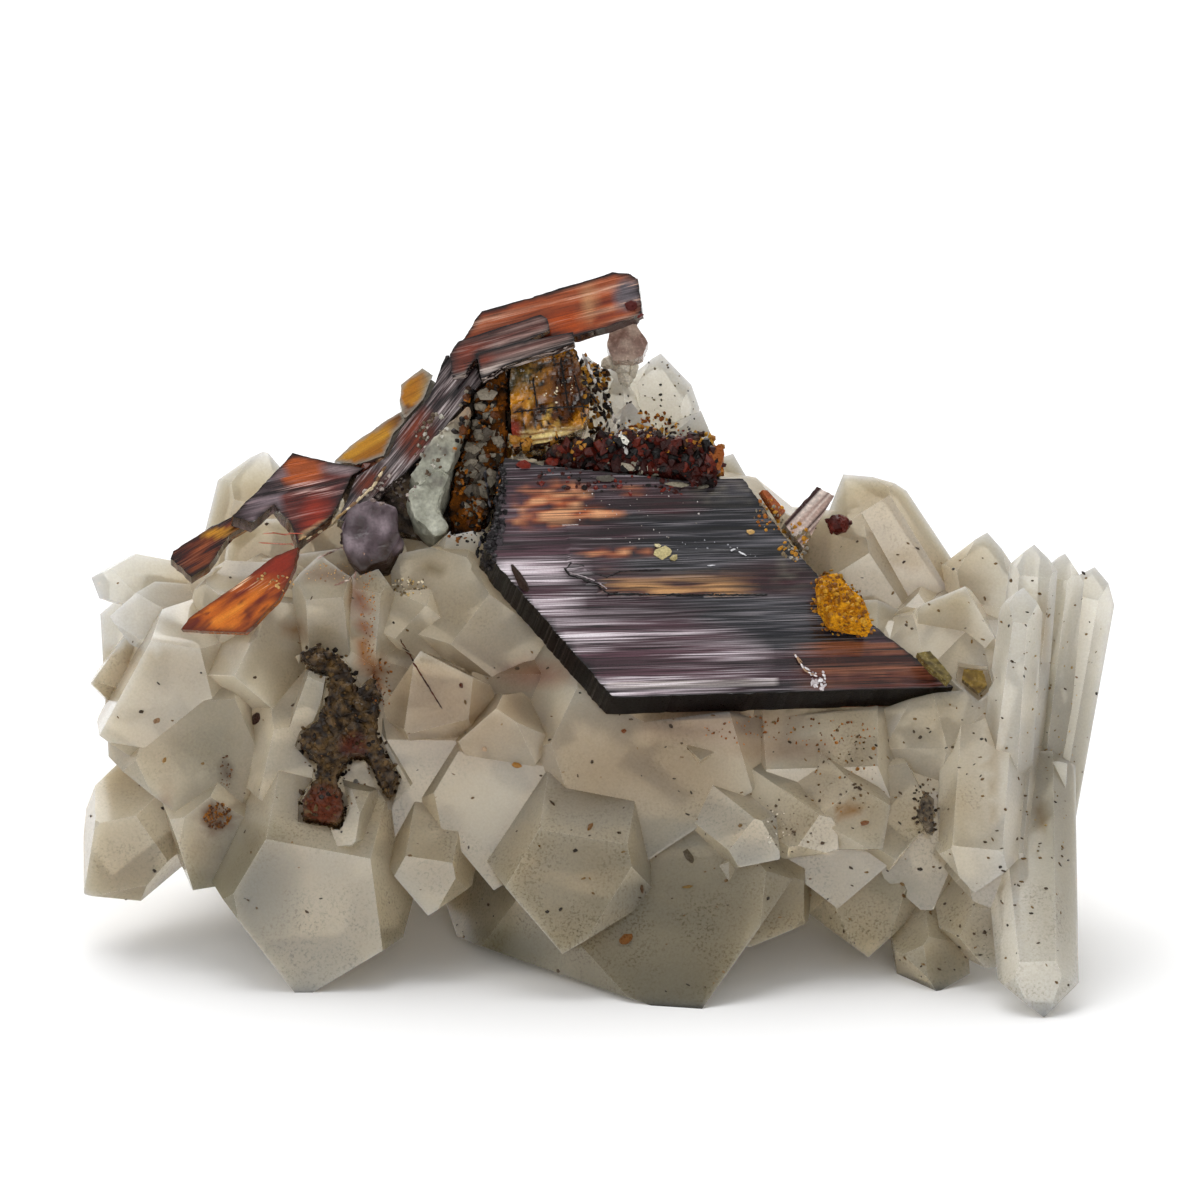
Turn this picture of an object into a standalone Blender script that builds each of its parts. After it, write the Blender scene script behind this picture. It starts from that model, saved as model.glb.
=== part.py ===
"""Brookite on quartz: a cluster of grown-together quartz points that carries brookite crystals.

The quartz is one solid. Each brookite crystal and each crust of iron oxide is a solid of its own.
Metres, +Z up. The origin is the middle of the broken flat that the specimen rests on, and the
front, where the large brookite plate shows, looks along -Y.
"""

import math
import random

import bmesh
import bpy
from mathutils import Matrix, Vector

MM = 0.001
GAP = 0.3                               # mm left between two minerals
CLEAR = 6.0                             # mm kept free of quartz in front of a crystal that lies on top
SIGHT_TILT = math.radians(20.0)         # the front view looks this far down on the specimen
FRONT_FOOT = Vector((-2.5, -20.0, 0.0)) * MM

# Directions of the front view: to the right, up in the view, and deeper into the specimen.
RIGHT = Vector((1.0, 0.0, 0.0))
UP = Vector((0.0, math.sin(SIGHT_TILT), math.cos(SIGHT_TILT)))
DEEP = Vector((0.0, math.cos(SIGHT_TILT), -math.sin(SIGHT_TILT)))

# Quartz: its end faces stand this steep on the prism axis, and they come in sixes.
END_FACE_LEAN = math.radians(38.2)
PRISM_SIDES = 6

# Rounded lumps that the quartz points grow from: centre and half sizes, in mm of the front view.
CORE_LUMPS = [
    ((0.0, 13.0, 12.5), (20.5, 7.5, 7.0)),
    ((-11.5, 14.0, 12.0), (9.0, 8.0, 6.5)),
    ((1.5, 21.5, 13.2), (11.0, 6.5, 5.5)),
    ((-7.0, 22.0, 13.0), (6.0, 6.0, 4.8)),
    ((17.5, 13.0, 10.5), (6.0, 8.0, 5.5)),
    ((15.6, 16.4, 10.6), (4.6, 3.6, 3.6)),
]

# The broken flat underneath: half sizes at the surface it rests on, its height in mm, and how
# much wider it is at its top.
BASE_HALF_WIDTH, BASE_HALF_DEPTH, BASE_HEIGHT = 9.5, 4.5, 9.0
BASE_SIDES = 9
BASE_SPREAD = 1.3

# Quartz points, read in the front view in mm: butt (right, up, deep), tip, width, thickness as a
# share of the width, and turn about the axis in degrees. 30 turns a face to the front, 0 an edge.
LEFT_POINTS = [
    ((-13.5, 11.0, 9.5), (-15.4, 0.9, 2.2), 10.4, 0.85, 30),
    ((-17.0, 16.5, 13.0), (-25.2, 13.8, 5.8), 9.6, 0.80, 20),
    ((-20.0, 12.0, 12.0), (-26.0, 6.3, 6.8), 6.2, 0.80, 10),
    ((-17.0, 20.0, 13.0), (-25.7, 21.7, 9.8), 3.2, 0.60, 5),
    ((-17.0, 19.0, 13.0), (-24.6, 19.9, 8.8), 3.8, 0.60, 25),
    ((-18.5, 20.5, 15.5), (-16.8, 27.8, 15.2), 4.6, 0.50, 30),
    ((-15.0, 18.5, 14.0), (-18.3, 16.9, 4.6), 9.5, 0.90, 12),
    ((-16.5, 19.0, 13.0), (-18.6, 20.6, 5.7), 6.6, 0.90, 30),
    ((-15.4, 12.0, 6.5), (-13.7, 17.6, 3.7), 2.2, 0.80, 8),
    ((-13.3, 13.0, 9.0), (-13.9, 22.6, 6.2), 3.8, 0.80, 30),
    ((-12.3, 13.0, 8.5), (-11.3, 22.2, 6.0), 2.8, 0.80, 15),
    ((-18.0, 11.0, 9.5), (-20.6, 6.2, 4.6), 6.0, 0.80, 25),
    ((-14.0, 10.0, 8.0), (-12.7, 8.2, 2.4), 5.4, 0.90, 40),
    ((-21.0, 17.0, 14.0), (-25.6, 16.6, 9.5), 5.6, 0.80, 30),
    ((-14.0, 20.0, 14.5), (-18.0, 24.6, 11.8), 7.0, 0.70, 30),
    ((-12.0, 20.0, 14.0), (-14.4, 25.4, 11.6), 6.0, 0.70, 15),
    ((-15.0, 21.0, 13.5), (-13.2, 8.0, 4.4), 10.5, 0.70, 30),
    ((-20.5, 20.0, 14.0), (-19.8, 8.6, 5.6), 9.6, 0.70, 30),
]
MIDDLE_POINTS = [
    ((2.0, 13.2, 12.5), (-10.3, 22.8, 7.0), 7.6, 0.75, 30),
    ((-3.5, 14.5, 11.5), (-11.2, 20.9, 6.2), 4.2, 0.85, 20),
    ((-6.0, 20.0, 12.5), (-6.9, 24.2, 6.4), 4.4, 0.80, 30),
    ((-9.0, 21.0, 13.0), (-9.2, 7.4, 4.8), 8.6, 0.70, 30),
    ((-7.0, 16.0, 10.5), (-8.7, 4.7, 3.2), 4.8, 0.80, 30),
    ((-6.5, 10.0, 10.5), (-8.8, 17.8, 4.2), 6.0, 0.75, 25),
    ((-4.0, 11.0, 10.0), (-5.0, 14.9, 3.2), 6.2, 0.80, 14),
    ((-2.0, 16.0, 11.5), (0.2, 15.2, 4.3), 6.6, 0.80, 0),
    ((-3.5, 18.0, 12.0), (-5.6, 6.2, 4.0), 9.6, 0.70, 30),
    ((3.0, 20.0, 10.5), (2.0, 7.2, 3.4), 14.5, 0.50, 30),
    ((0.0, 14.5, 10.5), (-2.0, 2.9, 1.1), 9.6, 0.70, 30),
    ((0.0, 10.5, 12.5), (3.5, -0.1, 0.3), 17.0, 0.55, 30),
    ((1.0, 15.5, 8.5), (11.7, 7.9, 3.0), 3.6, 0.70, 30),
    ((8.0, 14.0, 9.0), (14.0, 8.0, 2.7), 4.8, 0.70, 20),
    ((1.0, 13.5, 8.0), (8.6, 7.4, 2.5), 3.8, 0.70, 30),
    ((8.0, 10.5, 10.0), (7.2, 3.4, 2.2), 6.6, 0.80, 10),
    ((5.0, 15.0, 11.0), (5.0, 12.5, 3.8), 7.4, 0.90, 20),
    ((11.0, 19.0, 11.5), (11.4, 5.4, 4.2), 11.0, 0.60, 30),
    ((13.0, 10.5, 11.0), (13.4, 2.6, 3.6), 6.6, 0.70, 30),
    ((13.0, 12.0, 10.0), (14.6, 7.6, 3.2), 7.0, 0.85, 12),
    ((16.0, 8.5, 11.0), (16.8, 1.0, 2.4), 4.6, 0.80, 0),
    ((16.0, 17.0, 12.5), (15.8, 5.2, 4.4), 8.6, 0.70, 30),
]
RIGHT_POINTS = [
    ((21.6, 12.0, 8.0), (22.1, -0.3, -1.0), 4.7, 0.70, 30),
    ((20.6, 9.0, 8.5), (21.9, 23.3, 5.2), 3.1, 0.90, 30),
    ((22.0, 9.0, 9.0), (23.6, 22.7, 6.4), 2.6, 0.90, 10),
    ((22.4, 9.0, 9.5), (25.1, 22.1, 7.6), 3.1, 0.80, 30),
    ((20.3, 10.5, 6.5), (21.4, 21.0, 3.4), 2.6, 0.90, 25),
    ((19.8, 16.5, 8.5), (18.7, 5.9, 1.7), 4.5, 0.75, 30),
    ((18.5, 15.0, 13.0), (19.9, 23.7, 10.4), 5.2, 0.80, 30),
    ((17.5, 14.5, 11.5), (18.7, 20.8, 7.2), 5.4, 0.80, 15),
    ((19.5, 9.0, 10.0), (23.6, 12.2, 6.4), 4.2, 0.80, 30),
    ((19.8, 15.0, 12.0), (12.5, 26.9, 11.4), 4.8, 0.60, 30),
    ((17.0, 14.5, 12.5), (10.2, 25.2, 11.2), 6.4, 0.60, 30),
    ((20.6, 17.0, 11.0), (19.8, 4.4, 2.8), 6.0, 0.70, 30),
    ((20.0, 17.0, 12.5), (20.0, 15.4, 5.4), 6.4, 0.90, 20),
    ((16.5, 18.0, 12.5), (18.0, 18.6, 7.4), 6.0, 0.90, 20),
    ((18.6, 10.0, 9.5), (19.2, 2.2, 2.2), 4.8, 0.80, 10),
]
TOP_POINTS = [
    ((2.0, 24.0, 15.5), (3.2, 33.0, 13.6), 4.2, 0.60, 30),
    ((3.0, 23.5, 15.0), (5.3, 29.8, 12.4), 4.2, 0.70, 15),
    ((4.5, 21.5, 15.5), (6.9, 27.8, 13.6), 4.8, 0.70, 30),
    ((-0.5, 25.0, 15.0), (0.9, 32.4, 13.2), 3.8, 0.70, 20),
    ((1.5, 23.0, 14.5), (1.9, 30.2, 11.2), 4.8, 0.80, 20),
    ((-3.5, 22.0, 15.0), (-3.2, 31.6, 13.4), 5.6, 0.80, 30),
    ((-9.5, 21.0, 13.5), (-11.0, 25.6, 10.6), 5.6, 0.80, 30),
    ((-7.0, 22.0, 13.5), (-8.2, 28.6, 11.6), 4.6, 0.80, 15),
    ((-11.0, 21.0, 14.0), (-12.3, 27.3, 11.0), 4.6, 0.70, 30),
    ((0.0, 23.5, 15.5), (-0.7, 33.0, 13.4), 3.4, 0.80, 20),
]

# Points that fan out over the back and the ends, which the front view doesn't show.
BACK_CENTRE = (0.0, 15.0, 14.0)
BACK_REACH = (24.5, 12.0, 11.5)         # half sizes of the egg that their tips reach
BACK_ROWS = [(-28, 6), (0, 8), (26, 7), (52, 5), (74, 3)]   # rise in degrees, and how many
BACK_FAN = (-80.0, 80.0)
BACK_WIDTH = (4.4, 7.6)
BACK_SEED = 11

# Finish of each mineral in the model: colour and roughness.
FINISHES = {
    "quartz_milky": ((0.62, 0.58, 0.52), 0.2),
    "brookite_dark_mauve": ((0.08, 0.05, 0.07), 0.3),
    "brookite_orange": ((0.35, 0.09, 0.03), 0.25),
    "brookite_mauve": ((0.16, 0.09, 0.10), 0.3),
    "brookite_gold": ((0.42, 0.22, 0.04), 0.35),
    "brookite_red_brown": ((0.20, 0.05, 0.03), 0.25),
    "clay_pale_grey": ((0.50, 0.50, 0.45), 0.7),
    "iron_oxide_dark": ((0.06, 0.03, 0.02), 0.6),
    "iron_oxide_rust": ((0.16, 0.04, 0.02), 0.5),
    "limonite_ochre": ((0.48, 0.22, 0.02), 0.8),
}

# Flat crystals and crusts that lie on the quartz. The outline is read in the front view in mm
# (right, up). The plane is its depth in mm at a place of the view and how that grows to the
# right and upward. The thickness runs away from the viewer.
MAIN_PLATE = [
    (-4.85, 27.75), (-2.95, 27.35), (4.5, 26.55), (7.25, 26.7), (9.3, 23.8), (11.3, 21.4),
    (13.6, 19.4), (17.85, 16.1), (0.65, 15.6), (-2.75, 19.5), (-5.05, 22.1), (-5.8, 23.1),
    (-5.1, 25.25),
]
MAIN_PLANE = (5.6, (5.0, 21.0), (0.20, 0.50))
TOP_BLADE = [
    (-7.25, 33.25), (-6.9, 33.85), (-6.05, 35.2), (-4.85, 35.5), (-1.7, 36.45), (0.65, 37.15),
    (1.45, 37.1), (1.95, 36.85), (2.1, 35.75), (2.15, 35.1), (1.1, 34.6), (-1.15, 33.9),
    (-2.75, 33.75), (-6.0, 33.25),
]
STEP_PLATE = [
    (-7.65, 33.0), (-7.2, 33.65), (-3.0, 35.0), (-2.65, 34.8), (-2.55, 34.2), (-4.5, 33.3),
    (-6.35, 32.65), (-6.85, 31.95), (-7.5, 31.85),
]
LEDGE_PLATE = [
    (-6.3, 33.0), (-4.0, 33.6), (-1.35, 34.1), (-1.3, 33.5), (-4.75, 32.4), (-6.0, 31.7),
]
GOLDEN_BOOK = [
    (-4.6, 31.3), (-4.45, 28.2), (-2.75, 28.45), (-0.9, 29.15), (-0.5, 30.25), (-0.65, 31.35),
    (-1.3, 33.3), (-3.5, 32.8), (-4.5, 32.4),
]
ROUND_CRYSTAL = [
    (0.35, 33.45), (0.5, 34.3), (1.05, 34.65), (1.85, 34.55), (2.45, 33.6), (2.2, 32.95),
    (1.6, 32.65), (0.65, 32.7),
]
RIDGE = [
    (-7.85, 32.95), (-6.5, 33.0), (-6.0, 31.6), (-6.9, 30.4), (-7.7, 29.5), (-8.75, 28.1),
    (-9.8, 27.0), (-11.1, 26.05), (-12.85, 24.35), (-13.25, 24.65), (-12.3, 26.8), (-10.75, 27.8),
    (-10.15, 29.15), (-8.65, 30.85),
]
AMBER_LOWER = [
    (-13.5, 27.55), (-12.7, 28.35), (-10.65, 29.8), (-9.7, 30.3), (-9.2, 29.6), (-9.75, 28.25),
    (-12.4, 27.35),
]
AMBER_UPPER = [
    (-10.15, 31.45), (-9.05, 32.3), (-8.3, 31.8), (-8.6, 30.6), (-9.1, 29.8), (-10.0, 29.75),
    (-10.2, 30.6),
]
LEFT_WING = [
    (-18.6, 24.75), (-15.6, 27.95), (-13.6, 27.5), (-12.05, 27.2), (-10.9, 27.6), (-10.6, 26.6),
    (-11.4, 25.9), (-13.05, 25.2), (-14.55, 23.95), (-15.3, 23.3), (-15.6, 24.3), (-16.5, 25.3),
    (-17.6, 24.4),
]
LEFT_ARM = [
    (-18.4, 24.85), (-19.7, 24.25), (-21.65, 23.0), (-21.75, 22.6), (-20.7, 21.65), (-19.75, 22.25),
    (-18.8, 23.75), (-17.6, 24.5),
]
LEAF = [
    (-15.2, 23.2), (-16.35, 22.75), (-18.5, 21.15), (-20.7, 19.65), (-21.15, 19.0), (-20.35, 18.95),
    (-17.85, 18.85), (-16.2, 20.5), (-15.45, 22.0),
]
DARK_LUMP = [
    (-12.75, 25.25), (-11.6, 25.65), (-10.4, 25.1), (-10.1, 23.75), (-10.75, 22.5), (-12.0, 22.1),
    (-12.75, 23.0), (-13.1, 24.1),
]
PALE_LUMP_UPPER = [
    (-9.6, 26.85), (-7.55, 29.75), (-6.7, 30.25), (-6.55, 29.95), (-7.2, 28.35), (-7.6, 27.0),
    (-8.4, 26.4), (-9.35, 26.4),
]
PALE_LUMP_LOWER = [
    (-9.75, 25.8), (-8.9, 26.8), (-8.2, 27.2), (-7.6, 26.85), (-7.85, 25.85), (-8.05, 25.2),
    (-7.85, 24.15), (-8.35, 23.9), (-9.35, 24.7),
]
CREVICE_CRUST = [
    (-6.1, 31.6), (-4.85, 32.1), (-4.8, 28.2), (-5.2, 27.6), (-5.5, 25.4), (-6.3, 24.0),
    (-7.3, 23.8), (-7.6, 25.3), (-7.3, 27.0), (-6.7, 28.4), (-6.2, 29.9),
]
CREVICE_GRAINS = [
    (-5.6, 31.0), (-5.4, 29.8), (-6.1, 28.8), (-5.7, 27.7), (-6.6, 27.0), (-6.2, 25.9), (-6.8, 24.9),
]
CREVICE_FILL = [
    (-7.6, 32.4), (-6.6, 33.0), (-4.2, 33.3), (-4.3, 28.0), (-5.2, 27.2), (-5.6, 25.0),
    (-6.4, 23.9), (-8.5, 23.5), (-10.2, 24.0), (-11.8, 25.4), (-13.0, 25.6), (-13.2, 27.2),
    (-12.05, 27.0), (-11.0, 27.3), (-10.35, 28.4), (-9.2, 30.0), (-8.2, 31.4),
]
SMALL_BOOK = [(9.3, 24.4), (11.0, 26.25), (11.9, 25.8), (10.3, 23.1)]
RUST_CHIP = [(7.75, 26.05), (8.5, 26.1), (9.4, 25.0), (9.1, 24.4)]
SQUARE_CHIP = [(5.0, 28.5), (6.25, 28.3), (6.3, 26.95), (5.1, 26.85)]
CHIP_A = [(16.0, 17.85), (16.65, 17.95), (17.8, 16.6), (17.55, 16.3), (16.65, 17.05)]
CHIP_B = [(18.35, 17.05), (19.35, 16.95), (19.55, 16.2), (19.1, 15.8), (18.25, 16.5)]
CHIP_C = [(16.3, 10.95), (16.8, 10.5), (16.75, 8.8), (16.4, 8.9), (15.9, 9.8)]
CRUST_TOP = [
    (-3.0, 27.0), (-2.6, 27.9), (-1.25, 28.5), (0.0, 28.25), (1.25, 28.9), (2.5, 29.0),
    (3.6, 28.6), (4.5, 28.9), (5.6, 28.5), (6.1, 27.75), (5.8, 26.5), (4.5, 26.3),
    (2.0, 26.6), (0.0, 26.8), (-1.5, 27.0),
]
CRUST_TOP_GRAINS = [
    (-2.2, 27.9), (-1.0, 28.2), (0.3, 28.3), (1.4, 28.6), (2.6, 28.7), (3.6, 28.2), (4.6, 28.4),
]
CRUST_LEFT = [
    (-15.0, 17.85), (-14.3, 18.15), (-13.2, 17.75), (-12.55, 16.75), (-12.25, 15.85), (-11.55, 16.55),
    (-11.25, 15.85), (-11.3, 13.7), (-10.8, 12.5), (-10.3, 11.7), (-10.6, 10.7), (-11.1, 11.55),
    (-11.7, 12.8), (-12.55, 12.8), (-13.3, 11.7), (-12.9, 10.05), (-13.2, 9.3), (-14.9, 9.65),
    (-14.9, 10.5), (-14.2, 11.6), (-14.15, 12.4), (-15.05, 13.4), (-14.9, 13.85), (-14.2, 14.3),
    (-13.75, 15.25), (-13.45, 16.9), (-14.15, 17.0), (-14.75, 17.4),
]
CRUST_LEFT_GRAINS = [
    (-14.2, 17.5), (-13.3, 17.1), (-12.8, 16.1), (-12.9, 15.1), (-12.0, 15.2), (-13.4, 14.2),
    (-12.3, 14.0), (-14.0, 13.3), (-12.9, 13.3), (-11.7, 14.4), (-13.9, 10.4),
]
LIMONITE_PATCH = [
    (11.1, 21.65), (11.8, 21.85), (13.3, 20.5), (13.7, 19.2), (11.75, 19.55), (11.2, 20.5),
]

# Name, finish, slabs (outline, plane, thickness), and how far the quartz is kept clear in front.
SLAB_MINERALS = [
    ("brookite_main_crystal", "brookite_dark_mauve", [(MAIN_PLATE, MAIN_PLANE, 2.0)], CLEAR),
    ("brookite_top_blade", "brookite_orange",
     [(TOP_BLADE, (9.8, (-2.5, 35.0), (-0.10, 0.35)), 0.9)], CLEAR),
    ("brookite_step_plates", "brookite_mauve",
     [(STEP_PLATE, (8.7, (-5.0, 33.5), (-0.10, 0.35)), 0.6),
      (LEDGE_PLATE, (8.3, (-4.0, 33.0), (-0.10, 0.35)), 0.7)], CLEAR),
    ("brookite_golden_book", "brookite_gold",
     [(GOLDEN_BOOK, (9.2, (-2.6, 30.5), (0.0, 0.15)), 4.0)], CLEAR),
    ("brookite_round_crystal", "brookite_mauve",
     [(ROUND_CRYSTAL, (11.4, (1.4, 33.6), (0.0, 0.2)), 1.6)], CLEAR),
    ("brookite_ridge", "brookite_mauve",
     [(RIDGE, (8.6, (-10.0, 28.0), (0.05, 0.25)), 1.8)], CLEAR),
    ("brookite_amber_blades", "brookite_gold",
     [(AMBER_LOWER, (10.4, (-11.5, 29.0), (0.0, 0.3)), 0.9),
      (AMBER_UPPER, (10.6, (-9.5, 31.0), (0.0, 0.3)), 1.1)], CLEAR),
    ("brookite_left_wing", "brookite_red_brown",
     [(LEFT_WING, (8.4, (-13.5, 26.0), (0.10, 0.50)), 1.1)], CLEAR),
    ("brookite_left_arm", "brookite_red_brown",
     [(LEFT_ARM, (8.6, (-19.0, 24.0), (0.0, 0.40)), 0.9)], CLEAR),
    ("brookite_leaf", "brookite_orange",
     [(LEAF, (5.2, (-18.0, 20.5), (-0.20, 0.30)), 0.5)], CLEAR),
    ("brookite_dark_lump", "brookite_mauve",
     [(DARK_LUMP, (6.6, (-11.6, 24.0), (0.0, 0.30)), 2.6)], CLEAR),
    ("pale_matrix_lumps", "clay_pale_grey",
     [(PALE_LUMP_UPPER, (7.6, (-8.2, 27.8), (0.0, 0.25)), 2.6),
      (PALE_LUMP_LOWER, (6.9, (-8.6, 25.6), (0.0, 0.25)), 3.0)], CLEAR),
    ("limonite_crust_left", "limonite_ochre",
     [(CREVICE_CRUST, (8.9, (-6.0, 28.0), (0.0, 0.25)), 2.4)], CLEAR),
    ("brookite_small_book", "brookite_mauve",
     [(SMALL_BOOK, (8.4, (10.6, 24.8), (0.1, 0.2)), 1.4)], CLEAR),
    ("brookite_rust_chip", "brookite_orange",
     [(RUST_CHIP, (8.3, (8.6, 25.3), (0.1, 0.3)), 0.6)], CLEAR),
    ("brookite_square_chip", "brookite_gold",
     [(SQUARE_CHIP, (8.9, (5.6, 27.7), (0.0, 0.3)), 0.6)], CLEAR),
    ("brookite_chip_a", "brookite_gold",
     [(CHIP_A, (4.9, (16.9, 17.2), (0.20, 0.50)), 0.5)], 3.0),
    ("brookite_chip_b", "brookite_gold",
     [(CHIP_B, (6.0, (18.9, 16.5), (0.0, 0.3)), 0.6)], 3.0),
    ("brookite_chip_c", "brookite_gold",
     [(CHIP_C, (3.0, (16.4, 9.9), (0.0, 0.3)), 0.6)], 3.0),
    ("limonite_crust_right", "limonite_ochre",
     [(LIMONITE_PATCH, (5.1, (12.4, 20.6), (0.20, 0.50)), 2.4)], CLEAR),
    ("iron_oxide_crust_top", "iron_oxide_rust",
     [(CRUST_TOP, (8.3, (1.5, 27.8), (0.0, 0.3)), 2.2)], CLEAR),
    ("iron_oxide_crust_left", "iron_oxide_dark",
     [(CRUST_LEFT, (3.4, (-12.8, 14.0), (0.0, 0.12)), 2.6)], 3.5),
    ("iron_oxide_crevice_fill", "iron_oxide_dark",
     [(CREVICE_FILL, (10.6, (-8.0, 28.0), (0.0, 0.25)), 2.4)], CLEAR),
]
GRAINS = {
    "iron_oxide_crust_top": (CRUST_TOP_GRAINS, 8.3, 0.3, 27.8, 0.62),
    "iron_oxide_crust_left": (CRUST_LEFT_GRAINS, 3.4, 0.12, 14.0, 0.5),
    "limonite_crust_left": (CREVICE_GRAINS, 8.9, 0.25, 28.0, 0.55),
}
GRAIN_SIDES = (0.75, 1.25)

OXIDE_GRAIN = ((12.1, 24.35, 8.7), (0.62, 0.50, 0.5))


def clear_scene():
    """Removes what the scene holds."""
    for item in list(bpy.data.objects):
        bpy.data.objects.remove(item)


def new_collection(name):
    """A collection of that name in the scene."""
    found = bpy.data.collections.new(name)
    bpy.context.scene.collection.children.link(found)
    return found


def spot(right, up, deep):
    """The place that the front view shows at right, up and deep, in mm from the front foot."""
    return FRONT_FOOT + MM * (right * RIGHT + up * UP + deep * DEEP)


def finishes():
    """A plain finish for each mineral."""
    made = {}
    for name, (colour, roughness) in FINISHES.items():
        finish = bpy.data.materials.new(name)
        finish.use_nodes = True
        shader = finish.node_tree.nodes["Principled BSDF"]
        shader.inputs["Base Color"].default_value = (*colour, 1.0)
        shader.inputs["Roughness"].default_value = roughness
        finish.diffuse_color = (*colour, 1.0)
        made[name] = finish
    return made


def link_mesh(name, shape, home):
    """Turns a bmesh into an object of that name."""
    mesh = bpy.data.meshes.new(name)
    shape.to_mesh(mesh)
    shape.free()
    made = bpy.data.objects.new(name, mesh)
    home.objects.link(made)
    return made


def shear_off(shape, point, normal):
    """Cuts away what lies beyond a plane and closes the cut."""
    geometry = shape.verts[:] + shape.edges[:] + shape.faces[:]
    cut = bmesh.ops.bisect_plane(
        shape, geom=geometry, dist=1e-7, plane_co=point, plane_no=normal, clear_outer=True
    )
    rim = [item for item in cut["geom_cut"] if isinstance(item, bmesh.types.BMEdge)]
    if rim:
        bmesh.ops.contextual_create(shape, geom=rim)


def quartz_shape(butt, tip, width, thickness, turn, chance):
    """A six-sided quartz point from butt to tip, with uneven prism and end faces."""
    axis = tip - butt
    length = axis.length
    radius = width * MM / 2
    shape = bmesh.new()
    bmesh.ops.create_cube(shape, size=4 * length)
    shear_off(shape, Vector((0, 0, 0)), Vector((0, 0, -1)))
    lean_out, lean_up = math.cos(END_FACE_LEAN), math.sin(END_FACE_LEAN)
    for side in range(PRISM_SIDES):
        angle = math.radians(turn + side * 360 / PRISM_SIDES)
        outward = Vector((math.cos(angle), math.sin(angle), 0))
        taper = Vector((0, 0, chance.uniform(0.0, 0.05)))
        distance = radius * chance.uniform(0.84, 1.0)
        shear_off(shape, outward * distance, outward + taper)
        setback = 0.0 if side % 2 == 0 else chance.uniform(0.1, 0.75) * radius
        if side == 2:
            setback = chance.uniform(0.0, 0.4) * radius
        shear_off(shape, Vector((0, 0, length + setback)), outward * lean_out + Vector((0, 0, lean_up)))
    for vertex in shape.verts:
        vertex.co.y *= thickness
    along = axis.normalized()
    back = DEEP - along * DEEP.dot(along)
    if back.length < 0.2:
        back = UP - along * UP.dot(along)
    back.normalize()
    across = back.cross(along)
    turned = Matrix((across, back, along)).transposed().to_4x4()
    shape.transform(Matrix.Translation(butt) @ turned)
    return shape


def quartz_point(row, chance, home):
    """One row of the tables above as an object."""
    butt, tip, width, thickness, turn = row
    shape = quartz_shape(spot(*butt), spot(*tip), width, thickness, turn, chance)
    return link_mesh("point", shape, home)


def back_rows(chance):
    """Rows for the points of the back, which fan out over an egg round the core."""
    centre = Vector(BACK_CENTRE)
    rows = []
    for rise, count in BACK_ROWS:
        for place in range(count):
            share = (place + chance.uniform(0.2, 0.8)) / count
            fan = math.radians(BACK_FAN[0] + share * (BACK_FAN[1] - BACK_FAN[0]))
            lift = math.radians(rise + chance.uniform(-9, 9))
            way = Vector((
                BACK_REACH[0] * math.sin(fan) * math.cos(lift),
                BACK_REACH[1] * math.sin(lift),
                BACK_REACH[2] * math.cos(fan) * math.cos(lift),
            ))
            tip = centre + way * chance.uniform(0.86, 1.0)
            lean = Vector([chance.uniform(-2.0, 2.0) for _ in range(3)])
            butt = centre + way * 0.25 + lean
            width = chance.uniform(*BACK_WIDTH)
            rows.append((butt, tip, width, chance.uniform(0.7, 0.95), chance.uniform(0, 60)))
    return rows


def pebble(name, centre, half_sizes, home, subdivisions=2, grow=0.0):
    """A rounded, faceted lump."""
    shape = bmesh.new()
    bmesh.ops.create_icosphere(shape, subdivisions=subdivisions, radius=1.0)
    turned = Matrix((RIGHT, UP, DEEP)).transposed().to_4x4()
    size = Matrix.Diagonal((*[MM * (half + grow) for half in half_sizes], 1.0))
    shape.transform(Matrix.Translation(spot(*centre)) @ turned @ size)
    bmesh.ops.recalc_face_normals(shape, faces=shape.faces)
    return link_mesh(name, shape, home)


def broken_base(home):
    """The broken foot of the cluster, narrower at the surface that it rests on."""
    shape = bmesh.new()
    bmesh.ops.create_cone(
        shape, cap_ends=True, segments=BASE_SIDES,
        radius1=1.0, radius2=BASE_SPREAD, depth=BASE_HEIGHT * MM,
    )
    size = Matrix.Diagonal((BASE_HALF_WIDTH * MM, BASE_HALF_DEPTH * MM, 1.0, 1.0))
    below = 0.5
    shape.transform(Matrix.Translation((0, 0, (BASE_HEIGHT / 2 - below) * MM)) @ size)
    return link_mesh("base", shape, home)


def wider(outline, amount):
    """The outline moved outward by that many mm on every side."""
    points = [Vector(point) for point in outline]
    pairs = list(zip(points, points[1:] + points[:1]))
    area = sum(here.x * after.y - after.x * here.y for here, after in pairs)
    sense = 1.0 if area > 0 else -1.0
    moved = []
    for place, here in enumerate(points):
        way_in = (here - points[place - 1]).normalized()
        way_out = (points[(place + 1) % len(points)] - here).normalized()
        first = Vector((way_in.y, -way_in.x)) * sense
        second = Vector((way_out.y, -way_out.x)) * sense
        reach = amount / max(0.4, 1.0 + first.dot(second))
        moved.append(tuple(here + (first + second) * reach))
    return moved


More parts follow.
